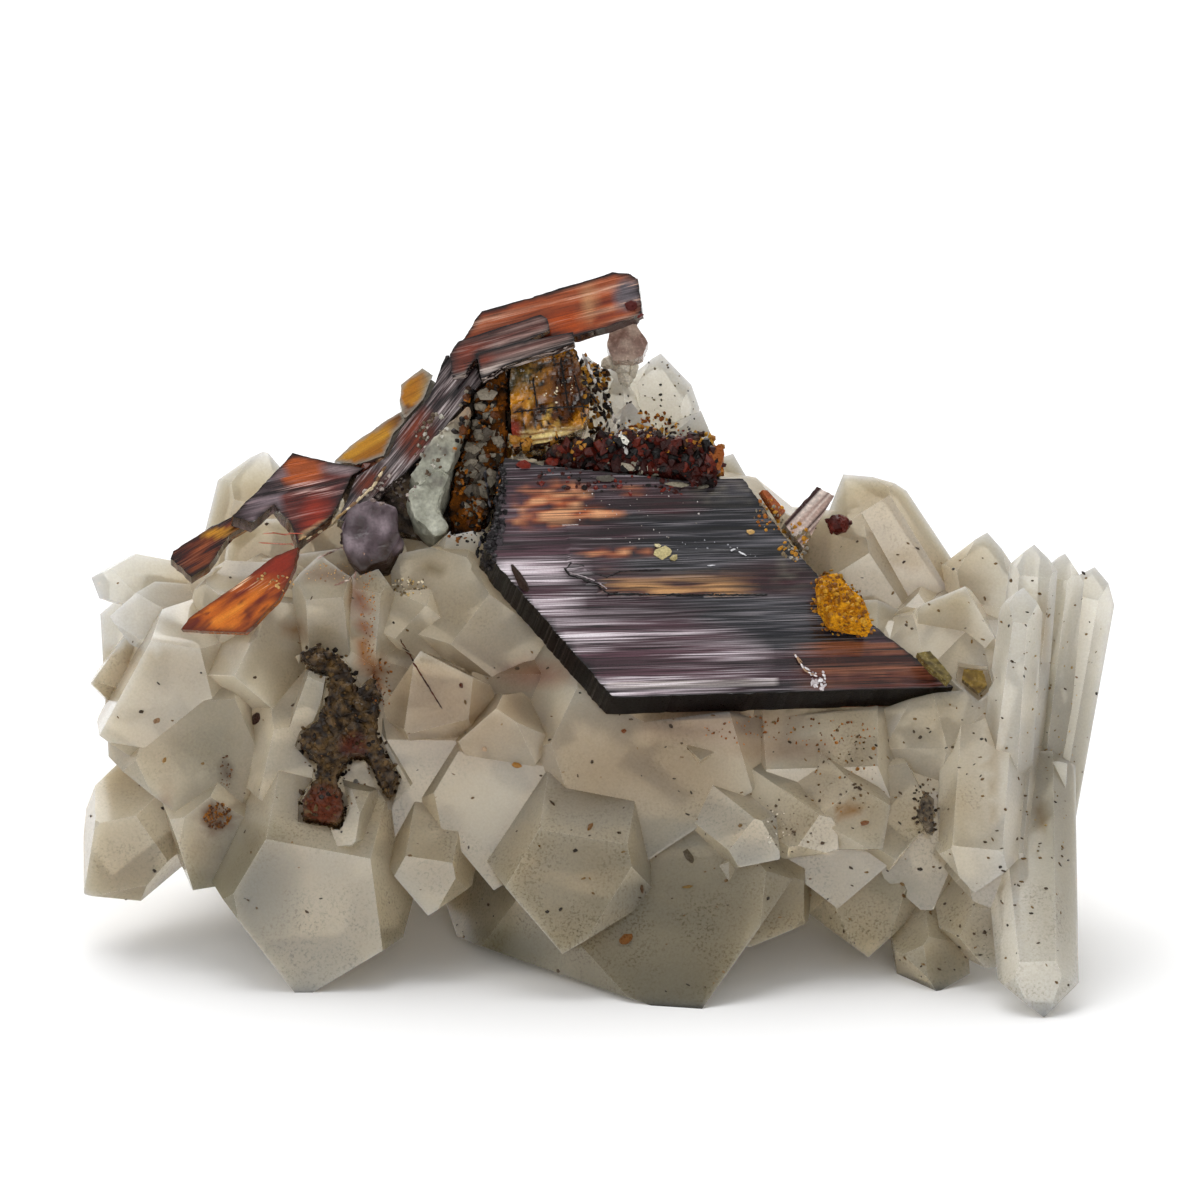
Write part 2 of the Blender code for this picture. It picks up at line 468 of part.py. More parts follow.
def slab(name, outline, plane, front, back, home):
    """A straight-sided solid over an outline, from front to back of its plane in mm."""
    curve = bpy.data.curves.new(name, "CURVE")
    curve.dimensions = "2D"
    curve.fill_mode = "BOTH"
    curve.extrude = (front + back) / 2 * MM
    line = curve.splines.new("POLY")
    line.points.add(len(outline) - 1)
    for point, (right, up) in zip(line.points, outline):
        point.co = (right * MM, up * MM, 0.0, 1.0)
    line.use_cyclic_u = True
    helper = bpy.data.objects.new(name, curve)
    home.objects.link(helper)
    graph = bpy.context.evaluated_depsgraph_get()
    mesh = bpy.data.meshes.new_from_object(helper.evaluated_get(graph))
    bpy.data.objects.remove(helper)
    bpy.data.curves.remove(curve)
    shape = bmesh.new()
    shape.from_mesh(mesh)
    bpy.data.meshes.remove(mesh)
    bmesh.ops.remove_doubles(shape, verts=shape.verts, dist=1e-7)
    deep, (right, up), (slope_right, slope_up) = plane
    across = RIGHT + slope_right * DEEP
    upward = UP + slope_up * DEEP
    outward = across.cross(upward).normalized()
    placed = Matrix((across, upward, outward)).transposed().to_4x4()
    placed.translation = spot(0.0, 0.0, deep - slope_right * right - slope_up * up)
    shape.transform(placed @ Matrix.Translation((0, 0, (front - back) / 2 * MM)))
    bmesh.ops.recalc_face_normals(shape, faces=shape.faces)
    return link_mesh(name, shape, home)


def bake(item):
    """Replaces an object's mesh by what its modifiers make of it."""
    graph = bpy.context.evaluated_depsgraph_get()
    mesh = bpy.data.meshes.new_from_object(item.evaluated_get(graph))
    item.modifiers.clear()
    item.data = mesh


def combine(item, others, operation):
    """Joins other solids to this one, or cuts them out of it, and removes them."""
    if not others:
        return
    helpers = bpy.data.collections.new("helpers")
    bpy.context.scene.collection.children.link(helpers)
    for other in others:
        for home in list(other.users_collection):
            home.objects.unlink(other)
        helpers.objects.link(other)
    modifier = item.modifiers.new("combine", "BOOLEAN")
    modifier.operation = operation
    modifier.operand_type = "COLLECTION"
    modifier.collection = helpers
    modifier.solver = "EXACT"
    bake(item)
    for other in others:
        bpy.data.objects.remove(other)
    bpy.data.collections.remove(helpers)


def islands(shape):
    """The groups of faces that hang together."""
    left = set(shape.faces)
    groups = []
    while left:
        edge_of_group = [left.pop()]
        group = list(edge_of_group)
        while edge_of_group:
            face = edge_of_group.pop()
            for edge in face.edges:
                for other in edge.link_faces:
                    if other in left:
                        left.remove(other)
                        edge_of_group.append(other)
                        group.append(other)
        groups.append(group)
    return groups


def keep_largest(item):
    """Removes splinters that a cut has left loose."""
    shape = bmesh.new()
    shape.from_mesh(item.data)
    bmesh.ops.remove_doubles(shape, verts=shape.verts, dist=2e-6)
    bmesh.ops.dissolve_degenerate(shape, edges=shape.edges, dist=1e-6)
    groups = islands(shape)
    groups.sort(key=lambda group: sum(face.calc_area() for face in group))
    for group in groups[:-1]:
        bmesh.ops.delete(shape, geom=group, context="FACES")
    shape.to_mesh(item.data)
    shape.free()


def stand_flat(item):
    """Cuts the solid off at the surface that it rests on."""
    shape = bmesh.new()
    shape.from_mesh(item.data)
    geometry = shape.verts[:] + shape.edges[:] + shape.faces[:]
    cut = bmesh.ops.bisect_plane(
        shape, geom=geometry, dist=1e-7, plane_co=(0, 0, 0), plane_no=(0, 0, -1), clear_outer=True
    )
    rim = [edge for edge in cut["geom_cut"] if isinstance(edge, bmesh.types.BMEdge)]
    bmesh.ops.holes_fill(shape, edges=rim, sides=0)
    bmesh.ops.recalc_face_normals(shape, faces=shape.faces)
    shape.to_mesh(item.data)
    shape.free()


def build_quartz(home):
    """The whole quartz cluster as one solid."""
    chance = random.Random(5)
    pieces = [pebble("lump", centre, halves, home) for centre, halves in CORE_LUMPS]
    pieces.append(broken_base(home))
    for row in LEFT_POINTS + MIDDLE_POINTS + RIGHT_POINTS + TOP_POINTS:
        pieces.append(quartz_point(row, chance, home))
    for row in back_rows(random.Random(BACK_SEED)):
        pieces.append(quartz_point(row, chance, home))
    cluster = pieces[0]
    cluster.name = "quartz_cluster"
    combine(cluster, pieces[1:], "UNION")
    stand_flat(cluster)
    return cluster


def grain_pebbles(name, home, grow):
    """The rounded grains that stand out of a crust."""
    if name not in GRAINS:
        return []
    places, deep, slope_up, middle, half = GRAINS[name]
    chance = random.Random(name)
    made = []
    for right, up in places:
        centre = (right, up, deep + slope_up * (up - middle) + chance.uniform(0.0, 0.3))
        halves = [half * chance.uniform(*GRAIN_SIDES) for _ in range(3)]
        made.append(pebble(name, centre, halves, home, subdivisions=1, grow=grow))
    return made


def slab_mineral(row, home):
    """One flat crystal or crust as a solid."""
    name, _, slabs, _ = row
    parts = [slab(name, outline, plane, 0.0, thickness, home) for outline, plane, thickness in slabs]
    parts += grain_pebbles(name, home, 0.0)
    combine(parts[0], parts[1:], "UNION")
    return parts[0]


def sockets(row, home, front):
    """Solids a little larger than one crystal, which cut its place out of its neighbours."""
    name, _, slabs, _ = row
    made = []
    for outline, plane, thickness in slabs:
        made.append(slab("socket", wider(outline, GAP), plane, front, thickness + GAP, home))
    return made + grain_pebbles(name, home, GAP)


def near(one, other):
    """Whether the boxes round two objects meet."""
    for axis in range(3):
        first = [vertex.co[axis] for vertex in one.data.vertices]
        second = [vertex.co[axis] for vertex in other.data.vertices]
        if min(first) > max(second) or min(second) > max(first):
            return False
    return True


def carve(item, cutters):
    """Cuts those of the given solids that meet the item out of it."""
    hits = [cutter for cutter in cutters if near(item, cutter)]
    for cutter in cutters:
        if cutter not in hits:
            bpy.data.objects.remove(cutter)
    combine(item, hits, "DIFFERENCE")
    keep_largest(item)


def build_minerals(home, finish):
    """The brookite crystals and the crusts, each cut back where an earlier one lies."""
    done = []
    for row in SLAB_MINERALS:
        item = slab_mineral(row, home)
        cutters = []
        for earlier in done:
            cutters += sockets(earlier, home, GAP)
        carve(item, cutters)
        item.data.materials.clear()
        item.data.materials.append(finish[row[1]])
        item.name = row[0]
        done.append(row)
    centre, halves = OXIDE_GRAIN
    grain = pebble("oxide_grain_right", centre, halves, home)
    cutters = []
    for earlier in done:
        cutters += sockets(earlier, home, GAP)
    carve(grain, cutters)
    grain.data.materials.clear()
    grain.data.materials.append(finish["iron_oxide_rust"])


def main():
    clear_scene()
    home = new_collection("brookite_on_quartz")
    finish = finishes()
    build_minerals(home, finish)
    quartz = build_quartz(home)
    cutters = []
    for row in SLAB_MINERALS:
        cutters += sockets(row, home, row[3])
    centre, halves = OXIDE_GRAIN
    cutters.append(pebble("socket", centre, halves, home, grow=GAP))
    carve(quartz, cutters)
    quartz.data.materials.clear()
    quartz.data.materials.append(finish["quartz_milky"])


main()
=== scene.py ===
"""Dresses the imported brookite-on-quartz specimen with its grown surfaces, colours and stage.

Lengths in the tables are in mm of the front view: to the right, up in the view, and deeper into
the specimen. The spot function turns them into places in the frame, in metres.
"""

import functools
import math
import random

import bmesh
import bpy
from bpy.props import FloatProperty, FloatVectorProperty, IntProperty, PointerProperty
from mathutils import Matrix, Vector, noise
from mathutils.bvhtree import BVHTree


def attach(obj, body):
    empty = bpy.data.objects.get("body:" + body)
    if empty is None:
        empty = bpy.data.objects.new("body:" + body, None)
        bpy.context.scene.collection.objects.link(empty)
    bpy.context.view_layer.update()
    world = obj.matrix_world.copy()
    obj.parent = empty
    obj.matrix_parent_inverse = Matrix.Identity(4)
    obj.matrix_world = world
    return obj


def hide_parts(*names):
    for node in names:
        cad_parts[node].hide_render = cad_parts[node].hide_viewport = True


bl_info = {
    "name": "Brookite on quartz",
    "version": (1, 0, 0),
    "blender": (4, 5, 0),
    "location": "View3D > Sidebar > Specimen",
    "description": "Grows the surfaces and finishes of a brookite on quartz specimen",
    "category": "Add Mesh",
}

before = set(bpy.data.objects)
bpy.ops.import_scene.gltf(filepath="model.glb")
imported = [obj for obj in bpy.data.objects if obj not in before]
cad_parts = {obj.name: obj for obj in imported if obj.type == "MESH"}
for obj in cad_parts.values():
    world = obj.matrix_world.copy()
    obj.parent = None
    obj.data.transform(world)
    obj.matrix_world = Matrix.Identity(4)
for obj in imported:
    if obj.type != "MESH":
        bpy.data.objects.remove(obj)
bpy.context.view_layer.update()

MM = 0.001

# The front view looks this far down on the specimen; its lower edge meets the ground here.
SIGHT_TILT = math.radians(20.0)
FRONT_FOOT = Vector((-2.5, -20.0, 0.0)) * MM
RIGHT = Vector((1.0, 0.0, 0.0))
UP = Vector((0.0, math.sin(SIGHT_TILT), math.cos(SIGHT_TILT)))
DEEP = Vector((0.0, math.cos(SIGHT_TILT), -math.sin(SIGHT_TILT)))

VIEW_MIDDLE_UP = 20.5       # mm up in the view that the picture's middle shows
PICTURE_WIDTH = 60.0 * MM   # what the picture shows across, at the depth of the front foot
CAMERA_DISTANCE = 0.62
SENSOR_WIDTH = 36.0

BROAD = 0.8                 # cosine from a plate's outward direction that its broad faces pass
FLATNESS = math.radians(0.8)    # the most that two triangles of one flat face differ
DETAIL_ROUGHNESS = 0.65     # how much of the noise lies in its finest parts
LAMP_STAND = 0.3            # how far from the origin a far lamp's marker stands, in metres
FLOOR_HALF = 1.5            # half the floor's width, in metres
BLACK_CODE = "060505"       # between the growth lines
VEIL_CODE = "0b090a"        # broader dark bands
MOSS_CODE = "6e6244"        # fine olive-brown growth in the quartz


def spot(right, up, deep):
    """The place that the front view shows at right, up and deep, in mm from the front foot."""
    return FRONT_FOOT + MM * (right * RIGHT + up * UP + deep * DEEP)


def seen_at(point):
    """Where the front view shows a place: right, up and deep in mm."""
    offset = (point - FRONT_FOOT) / MM
    return offset.dot(RIGHT), offset.dot(UP), offset.dot(DEEP)


@functools.cache
def colour(code):
    """An sRGB hex colour as linear red, green and blue."""
    made = []
    for place in (0, 2, 4):
        value = int(code[place:place + 2], 16) / 255.0
        made.append(value / 12.92 if value <= 0.04045 else ((value + 0.055) / 1.055) ** 2.4)
    return tuple(made)


def clamped(value):
    """A value kept from 0 to 1."""
    return min(1.0, max(0.0, value))


def blend(first, second, share):
    """A colour between two others."""
    share = clamped(share)
    return tuple(a + (b - a) * share for a, b in zip(first, second))


def murk(x, y, z):
    """Smooth noise from -1 to 1."""
    return noise.noise(Vector((x, y, z)))


def streak(along, across, pitch, stretch, seed):
    """Noise from -1 to 1 that is drawn out along one direction."""
    return murk(along / stretch, across / pitch, seed * 7.31)


# Materials


def add_node(tree, kind, inputs=None, **settings):
    """Adds a node with its settings; an input takes a value, or a link from another node."""
    made = tree.nodes.new(kind)
    made.location = (220 * len(tree.nodes), 0)
    for name, value in settings.items():
        setattr(made, name, value)
    for socket, value in (inputs or {}).items():
        if isinstance(value, bpy.types.NodeSocket):
            tree.links.new(value, made.inputs[socket])
        else:
            made.inputs[socket].default_value = value
    return made


def new_finish(name, settings):
    """A new material with those settings of its shader."""
    finish = bpy.data.materials.new(name)
    finish.use_nodes = True
    tree = finish.node_tree
    tree.nodes.clear()
    shader = add_node(tree, "ShaderNodeBsdfPrincipled", settings)
    output = add_node(tree, "ShaderNodeOutputMaterial", {"Surface": shader.outputs["BSDF"]})
    return finish, tree, shader, output


def add_grain(tree, shader, base, place, pitch, depth, spread, rough):
    """Fine mottling of the colour, the gloss and the relief, with that pitch in mm."""
    fine = add_node(
        tree, "ShaderNodeTexNoise",
        {"Vector": place, "Scale": 1.0 / (pitch * MM), "Detail": 1.0,
         "Roughness": DETAIL_ROUGHNESS},
    ).outputs["Fac"]
    shade, gloss = [
        add_node(
            tree, "ShaderNodeMapRange",
            {"Value": fine, "From Min": 0.3, "From Max": 0.7, "To Min": low, "To Max": high},
        ).outputs["Result"]
        for low, high in ((1.0 - spread, 1.0 + spread), rough)
    ]
    mottled = add_node(tree, "ShaderNodeVectorMath", {0: base, "Scale": shade}, operation="SCALE")
    relief = add_node(tree, "ShaderNodeBump", {"Height": fine, "Distance": depth * MM})
    tree.links.new(mottled.outputs["Vector"], shader.inputs["Base Color"])
    tree.links.new(gloss, shader.inputs["Roughness"])
    tree.links.new(relief.outputs["Normal"], shader.inputs["Normal"])
    return relief


def tinted_finish(name, pitch, depth, spread, rough, ior, shine=0.5):
    """A mineral with the mesh's tint; pitch and depth of its grain in mm, spread of its shade."""
    finish, tree, shader, _ = new_finish(name, {"IOR": ior, "Specular IOR Level": shine})
    tint = add_node(tree, "ShaderNodeAttribute", attribute_name="tint").outputs["Color"]
    place = add_node(tree, "ShaderNodeTexCoord").outputs["Object"]
    add_grain(tree, shader, tint, place, pitch, depth, spread, rough)
    return finish


def striated_finish(name, axes, pitch, stretch, rough, dark, pale):
    """A grown brookite face: black growth lines, and pale lines of painted highlight where the tint's
    alpha is high.

    Pitch is from line to line in mm, and a line is stretch times as long.
    """
    # Adamantine but thinly tarnished: deep colour first, then a soft mirror along the lines, helped by
    # painted highlights on the pale lines.
    finish, tree, shader, _ = new_finish(name, {"IOR": 2.0, "Specular IOR Level": 0.3})
    tint = add_node(tree, "ShaderNodeAttribute", attribute_name="tint")
    place = add_node(tree, "ShaderNodeTexCoord").outputs["Object"]
    runs = [
        add_node(
            tree, "ShaderNodeVectorMath", {0: place, 1: axis / share}, operation="DOT_PRODUCT"
        ).outputs["Value"]
        for axis, share in zip(axes, (stretch, 1.0, 3.0))
    ]
    drawn = add_node(tree, "ShaderNodeCombineXYZ", dict(enumerate(runs))).outputs["Vector"]
    lines, bands = [
        add_node(
            tree, "ShaderNodeTexNoise",
            {"Vector": drawn, "Scale": 1.0 / (size * MM), "Detail": 1.0,
             "Roughness": DETAIL_ROUGHNESS},
        ).outputs["Fac"]
        for size in (pitch, pitch * 5.0)
    ]
    black, veil, bright, patches = [
        add_node(
            tree, "ShaderNodeMapRange",
            {"Value": source, "From Min": start, "From Max": end, "To Min": low, "To Max": high},
        ).outputs["Result"]
        for source, start, end, low, high in (
            (lines, 0.47, 0.34, 0.0, dark),
            (bands, 0.56, 0.34, 0.0, 0.8 * dark),
            (lines, 0.50, 0.66, 0.0, 1.0),
            (bands, 0.36, 0.62, 0.15, 1.6),
        )
    ]
    # The pale lines are painted highlights: their share is the tint's alpha times the bright lines and
    # bands.
    glint_share = tint.outputs["Alpha"]
    for factor in (bright, patches):
        glint_share = add_node(
            tree, "ShaderNodeMath", {0: glint_share, 1: factor}, operation="MULTIPLY", use_clamp=True
        ).outputs["Value"]
    base = tint.outputs["Color"]
    for share, code in ((veil, VEIL_CODE), (black, BLACK_CODE), (glint_share, pale)):
        base = add_node(
            tree, "ShaderNodeMix", {0: share, 6: base, 7: (*colour(code), 1.0)}, data_type="RGBA"
        ).outputs[2]
    relief = add_grain(tree, shader, base, place, pitch, 0.10 * pitch, 0.10, rough)
    tree.links.new(lines, relief.inputs["Height"])
    return finish


def quartz_finish(name, settings, clarity, rough):
    """Milky quartz with fine moss where the tint's alpha is high."""
    # Light enters the etched faces, spreads in the milky body and leaves it softly all round.
    finish, tree, shader, output = new_finish(name, {
        "IOR": 1.544,
        "Transmission Weight": clarity,
        "Subsurface Weight": 1.0,
        "Subsurface Radius": (1.0, 0.92, 0.8),
        "Subsurface Scale": settings.glow_depth,
    })
    tint = add_node(tree, "ShaderNodeAttribute", attribute_name="tint")
    place = add_node(tree, "ShaderNodeTexCoord").outputs["Object"]
    moss = tint.outputs["Alpha"]
    for pitch, detail, start, end, low, high in (
        (0.14, 2.0, 0.50, 0.68, 0.0, 0.8),
        (2.20, 1.0, 0.40, 0.60, 0.25, 1.0),
    ):
        cloud = add_node(
            tree, "ShaderNodeTexNoise",
            {"Vector": place, "Scale": 1.0 / (pitch * MM), "Detail": detail,
             "Roughness": DETAIL_ROUGHNESS},
        ).outputs["Fac"]
        share = add_node(
            tree, "ShaderNodeMapRange",
            {"Value": cloud, "From Min": start, "From Max": end, "To Min": low, "To Max": high},
        ).outputs["Result"]
        moss = add_node(
            tree, "ShaderNodeMath", {0: moss, 1: share}, operation="MULTIPLY", use_clamp=True
        ).outputs["Value"]
    base = add_node(
        tree, "ShaderNodeMix",
        {0: moss, 6: tint.outputs["Color"], 7: (*colour(MOSS_CODE), 1.0)}, data_type="RGBA",
    ).outputs[2]
    add_grain(tree, shader, base, place, 0.12, 0.002, 0.05, rough)
    soak = add_node(
        tree, "ShaderNodeVolumeAbsorption",
        {"Color": (*settings.body_colour, 1.0), "Density": settings.body_density},
    )
    tree.links.new(soak.outputs["Volume"], output.inputs["Volume"])
    return finish


# Meshes


def node_shape(node):
    """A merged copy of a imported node's mesh, with its flat faces whole again."""
    shape = bmesh.new()
    shape.from_mesh(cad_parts[node].data)
    bmesh.ops.remove_doubles(shape, verts=shape.verts, dist=1e-6)
    bmesh.ops.dissolve_limit(shape, angle_limit=FLATNESS, verts=shape.verts, edges=shape.edges)
    return shape


def new_object(name, shape, finishes):
    """Turns a bmesh into an object with those materials."""
    mesh = bpy.data.meshes.new(name)
    shape.to_mesh(mesh)
    shape.free()
    made = bpy.data.objects.new(name, mesh)
    bpy.context.scene.collection.objects.link(made)
    for finish in finishes:
        mesh.materials.append(finish)
    return made


def set_tint(mesh, values):
    """Gives every corner of every face its tint and alpha, from one flat list."""
    layer = mesh.color_attributes.new("tint", "FLOAT_COLOR", "CORNER")
    layer.data.foreach_set("color", values)


def finish_piece(name, shape, finishes, node, painter, worn=None):
    """Turns a bmesh into a painted piece that rides on the frame and stands for its node."""
    bmesh.ops.recalc_face_normals(shape, faces=shape.faces)
    piece = new_object(name, shape, finishes)
    paint(piece.data, painter, worn)
    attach(piece, "root")
    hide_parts(node)


def paint(mesh, painter, worn):
    """Tints a mesh; a painter's fourth number is the alpha, and worn edges lean to one colour, which on
    the quartz is partly a painted edge highlight.
    """
    places = [seen_at(vertex.co) for vertex in mesh.vertices]
    values = []
    for polygon in mesh.polygons:
        for index in polygon.vertices:
            shade = painter(*places[index], polygon.normal)
            share = shade[3] if len(shade) > 3 else 0.0
            shade = shade[:3]
            if worn and polygon.material_index:
                shade = blend(shade, worn, 0.7)
            values.extend((*shade, clamped(share)))
    set_tint(mesh, values)


def rim_of(node, outward):
    """The front outline of a plate, as lines of the front view in mm."""
    shape = node_shape(node)
    lines = []
    for edge in shape.edges:
        facing = [face.normal.dot(outward) for face in edge.link_faces]
        if max(facing) > BROAD and min(facing) < BROAD - 0.1:
            ends = [seen_at(vertex.co)[:2] for vertex in edge.verts]
            lines.append(tuple(Vector(end) for end in ends))
    shape.free()
    return lines


def rim_distance(lines, right, up):
    """How far a place of the front view is from the nearest of those lines, in mm."""
    here = Vector((right, up))
    nearest = 99.0
    for start, end in lines:
        way = end - start
        share = clamped((here - start).dot(way) / max(1e-6, way.length_squared))
        nearest = min(nearest, (start + way * share - here).length)
    return nearest


def rimmed(painter, node, axes, code, width, strength):
    """A painter with a seam of that colour and width in mm along a plate's front outline."""
    lines = rim_of(node, axes[2])
    seam = colour(code)

    def made(right, up, deep, normal):
        shade = painter(right, up, deep, normal)
        wave = 1.0 + 0.8 * murk(right * 1.7, up * 1.7, 0.0)
        near = 1.0 - rim_distance(lines, right, up) / (width * wave)
        return (*blend(shade, seam, strength * 1.6 * near), *shade[3:])

    return made


def slice_shape(shape, direction, low, high, chance):
    """Cuts the mesh's faces along parallel planes, with uneven steps from low to high in mm."""
    reach = [vertex.co.dot(direction) for vertex in shape.verts]
    place = min(reach) + chance.uniform(low, high) * MM
    end = max(reach)
    while place < end:
        geometry = shape.verts[:] + shape.edges[:] + shape.faces[:]
        bmesh.ops.bisect_plane(
            shape, geom=geometry, dist=1e-7, plane_co=direction * place, plane_no=direction
        )
        place += chance.uniform(low, high) * MM


def plate_axes(slope_right, slope_up, turn):
    """The directions along the growth lines, across them and out of a plate, from its slopes."""
    across = (RIGHT + slope_right * DEEP).normalized()
    outward = (RIGHT + slope_right * DEEP).cross(UP + slope_up * DEEP).normalized()
    upward = outward.cross(across)
    swing = math.radians(turn)
    along = (across * math.cos(swing) + upward * math.sin(swing)).normalized()
    return along, outward.cross(along).normalized(), outward


def growth_level(run, side, seed):
    """How high the growth lines stand: fine lines on flat-topped steps."""
    level = 0.5 * streak(run, side, 0.22, 5.0, seed) + 0.4 * streak(run, side, 0.09, 3.0, seed + 3)
    return level + 0.7 * math.floor(3.0 * streak(run, side, 0.8, 8.0, seed + 5)) / 3.0


def grow_plate(node, axes, line_step, cross_step, depth, seed, ragged=0.05, relief=None):
    """A copy of a node with raised growth lines on its broad faces and ragged edges.

    The steps between cuts, the lines' depth and the edges' raggedness are in mm.
    """
    along, across, outward = axes
    chance = random.Random(seed)
    shape = node_shape(node)
    slice_shape(shape, across, *line_step, chance)
    slice_shape(shape, along, *cross_step, chance)
    bmesh.ops.recalc_face_normals(shape, faces=shape.faces)
    shape.normal_update()
    for vertex in shape.verts:
        run, side = vertex.co.dot(along) / MM, vertex.co.dot(across) / MM
        facing = [(face.normal.dot(outward), face.normal) for face in vertex.link_faces]
        broad = [share for share, _ in facing if abs(share) > BROAD]
        edgeways = sum((normal for share, normal in facing if abs(share) <= BROAD), Vector())
        push = Vector()
        if broad:
            lift = depth * growth_level(run, side, seed)
            if relief and broad[0] > 0:
                lift += relief(*seen_at(vertex.co)[:2])
            push += outward * (math.copysign(1.0, broad[0]) * lift * MM)
        if edgeways.length > 0.3:
            wobble = murk(run * 1.3, side * 3.1, seed * 3.3)
            wobble += 0.6 * murk(run * 4.0, side * 9.0, seed * 5.1)
            push += edgeways.normalized() * (ragged * (wobble - 0.35) * MM)
        vertex.co += push
    return shape


def refine(shape, longest, rounds):
    """Halves edges longer than that many mm, so that the mesh can carry a painted tint."""
    bmesh.ops.triangulate(shape, faces=shape.faces)
    for _ in range(rounds):
        edges = [edge for edge in shape.edges if edge.calc_length() > longest * MM]
        if not edges:
            break
        bmesh.ops.subdivide_edges(shape, edges=edges, cuts=1)
        bmesh.ops.triangulate(shape, faces=shape.faces)


def pushed(shape, depth, pitch, seed):
    """Roughens a mesh along its normals, by that depth and pitch in mm."""
    shape.normal_update()
    for vertex in shape.verts:
        place = vertex.co / (pitch * MM)
        level = noise.noise(place + Vector((seed, 0, 0)))
        level += 0.5 * noise.noise(place * 2.3 + Vector((0, seed, 0)))
        vertex.co += vertex.normal * (level * depth * MM)


class Grains:
    """Many small irregular bodies, grown in batches so that each stays quick to add to."""

    BATCH_FACES = 1200
    BODY_CORNERS = 60   # an icosphere's 20 triangles have three corners each

    def __init__(self, chance):
        self.chance = chance
        self.batch = bmesh.new()
        self.batches = []
        self.shades = []

    def add(self, placed, ragged, shade=None):
        """One body: a rounded lump, set in its place and made ragged."""
        made = bmesh.ops.create_icosphere(self.batch, subdivisions=1, radius=1.0, matrix=placed)
        centre = placed.translation
        for vertex in made["verts"]:
            size = self.chance.uniform(1.0 - ragged, 1.0 + ragged)
            vertex.co = centre + (vertex.co - centre) * size
        self.shades.append(shade)
        if len(self.batch.faces) > self.BATCH_FACES:
            self.store()

    def add_turned(self, centre, half, shade=None):
        """One grain of that half size in mm, turned at random."""
        chance = self.chance
        turned = Matrix.Rotation(chance.uniform(0, math.tau), 4, "Z")
        turned = Matrix.Rotation(chance.uniform(0, math.pi), 4, "X") @ turned
        size = Matrix.Diagonal((*[half * MM * chance.uniform(0.6, 1.4) for _ in range(3)], 1.0))
        self.add(Matrix.Translation(centre) @ turned @ size, 0.25, shade)

    def store(self):
        """Puts the batch aside and starts the next."""
        mesh = bpy.data.meshes.new("grains")
        self.batch.to_mesh(mesh)
        self.batch.free()
        self.batches.append(mesh)
        self.batch = bmesh.new()

    def pour(self, shape):
        """Moves every body into that mesh."""
        self.store()
        self.batch.free()
        for mesh in self.batches:
            shape.from_mesh(mesh)
            bpy.data.meshes.remove(mesh)


def surface_spots(node, count, chance, facing=-0.2):
    """Places spread over the part of a node's surface that looks to the front, with normals."""
    shape = bmesh.new()
    shape.from_mesh(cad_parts[node].data)
    bmesh.ops.triangulate(shape, faces=shape.faces)
    faces = [face for face in shape.faces if -face.normal.dot(DEEP) > facing]
    areas = [face.calc_area() for face in faces]
    found = []
    for face in chance.choices(faces, weights=areas, k=count):
        first, second = chance.random(), chance.random()
        if first + second > 1.0:
            first, second = 1.0 - first, 1.0 - second
        a, b, c = [vertex.co for vertex in face.verts]
        found.append((a + (b - a) * first + (c - a) * second, face.normal.copy()))
    shape.free()
    return found


# Tints, by where the front view shows a face

# Paler chipped quartz edges, partly a painted highlight along the edges.
WORN_EDGE_AND_HIGHLIGHT = colour("ece4d2")
BLACK = colour("090708")


def soft_spot(right, up, middle, halves):
    """1 in the middle of an egg-shaped patch of the view, falling to 0 at its edge."""
    across = (right - middle[0]) / halves[0]
    upward = (up - middle[1]) / halves[1]
    return max(0.0, 1.0 - across * across - upward * upward)


def zone(right, up, rows):
    """A sum of such patches, from rows of strength, middle and half sizes."""
    return sum(row[0] * soft_spot(right, up, *row[1:]) for row in rows)


def patched(shade, right, up, rows):
    """A colour with such patches on it, from rows of middle, half sizes, colour and strength."""
    for middle, halves, code, strength in rows:
        share = soft_spot(right, up, middle, halves)
        if share > 0.0:
            shade = blend(shade, colour(code), strength * share)
    return shade


def layered(shade, *layers):
    """A colour with others laid over it, from pairs of colour code and share."""
    for code, share in layers:
        shade = blend(shade, colour(code), share)
    return shade


def aslant(normal):
    """Whether a face is one of a plate's sides, as the front view shows it."""
    return normal.dot(DEEP) > -0.6


MAIN_AXES = plate_axes(0.20, 0.50, 1.6)
# The raised step in the middle of the main crystal: its lower edge, from left to right.
TERRACE = [(-1.65, 22.35), (-0.5, 21.6), (0.15, 20.95), (0.8, 20.7), (7.6, 20.7), (10.5, 20.9)]
# Zones of the main crystal's face: dark, plum, pale, ember and worn; the pale zone is painted
# reflection, lighter mauve with white streaks of painted glint.
MAIN_ZONES = [
    [(1.0, (7.2, 23.2), (6.8, 3.9)), (1.3, (9.4, 19.2), (5.2, 1.3))],
    [(1.0, (8.6, 21.6), (3.4, 1.1)), (1.0, (3.4, 25.4), (2.6, 0.9))],
    [(1.0, (-3.6, 21.4), (3.2, 3.6)), (1.5, (-0.6, 17.6), (9.6, 2.6)), (0.5, (-4.0, 25.6), (1.6, 2.0))],
    [(1.0, (-2.3, 25.5), (2.2, 1.3)), (1.0, (-0.9, 24.9), (2.4, 0.7)), (0.8, (-3.2, 24.4), (1.6, 0.5)),
     (0.8, (1.2, 22.9), (2.6, 0.35)), (0.5, (1.6, 26.0), (1.0, 0.35))],
    [(1.0, (6.4, 25.9), (2.4, 0.8)), (1.0, (9.6, 22.0), (1.2, 1.4))],
]


def terrace_edge(right):
    """How far up in the view the lower edge of the raised step is."""
    for (left, low), (end, high) in zip(TERRACE, TERRACE[1:]):
        if left <= right < end:
            edge = low + (high - low) * (right - left) / (end - left)
            return edge + 0.10 * murk(right * 3.0, 5.0, 0.0)
    return 99.0


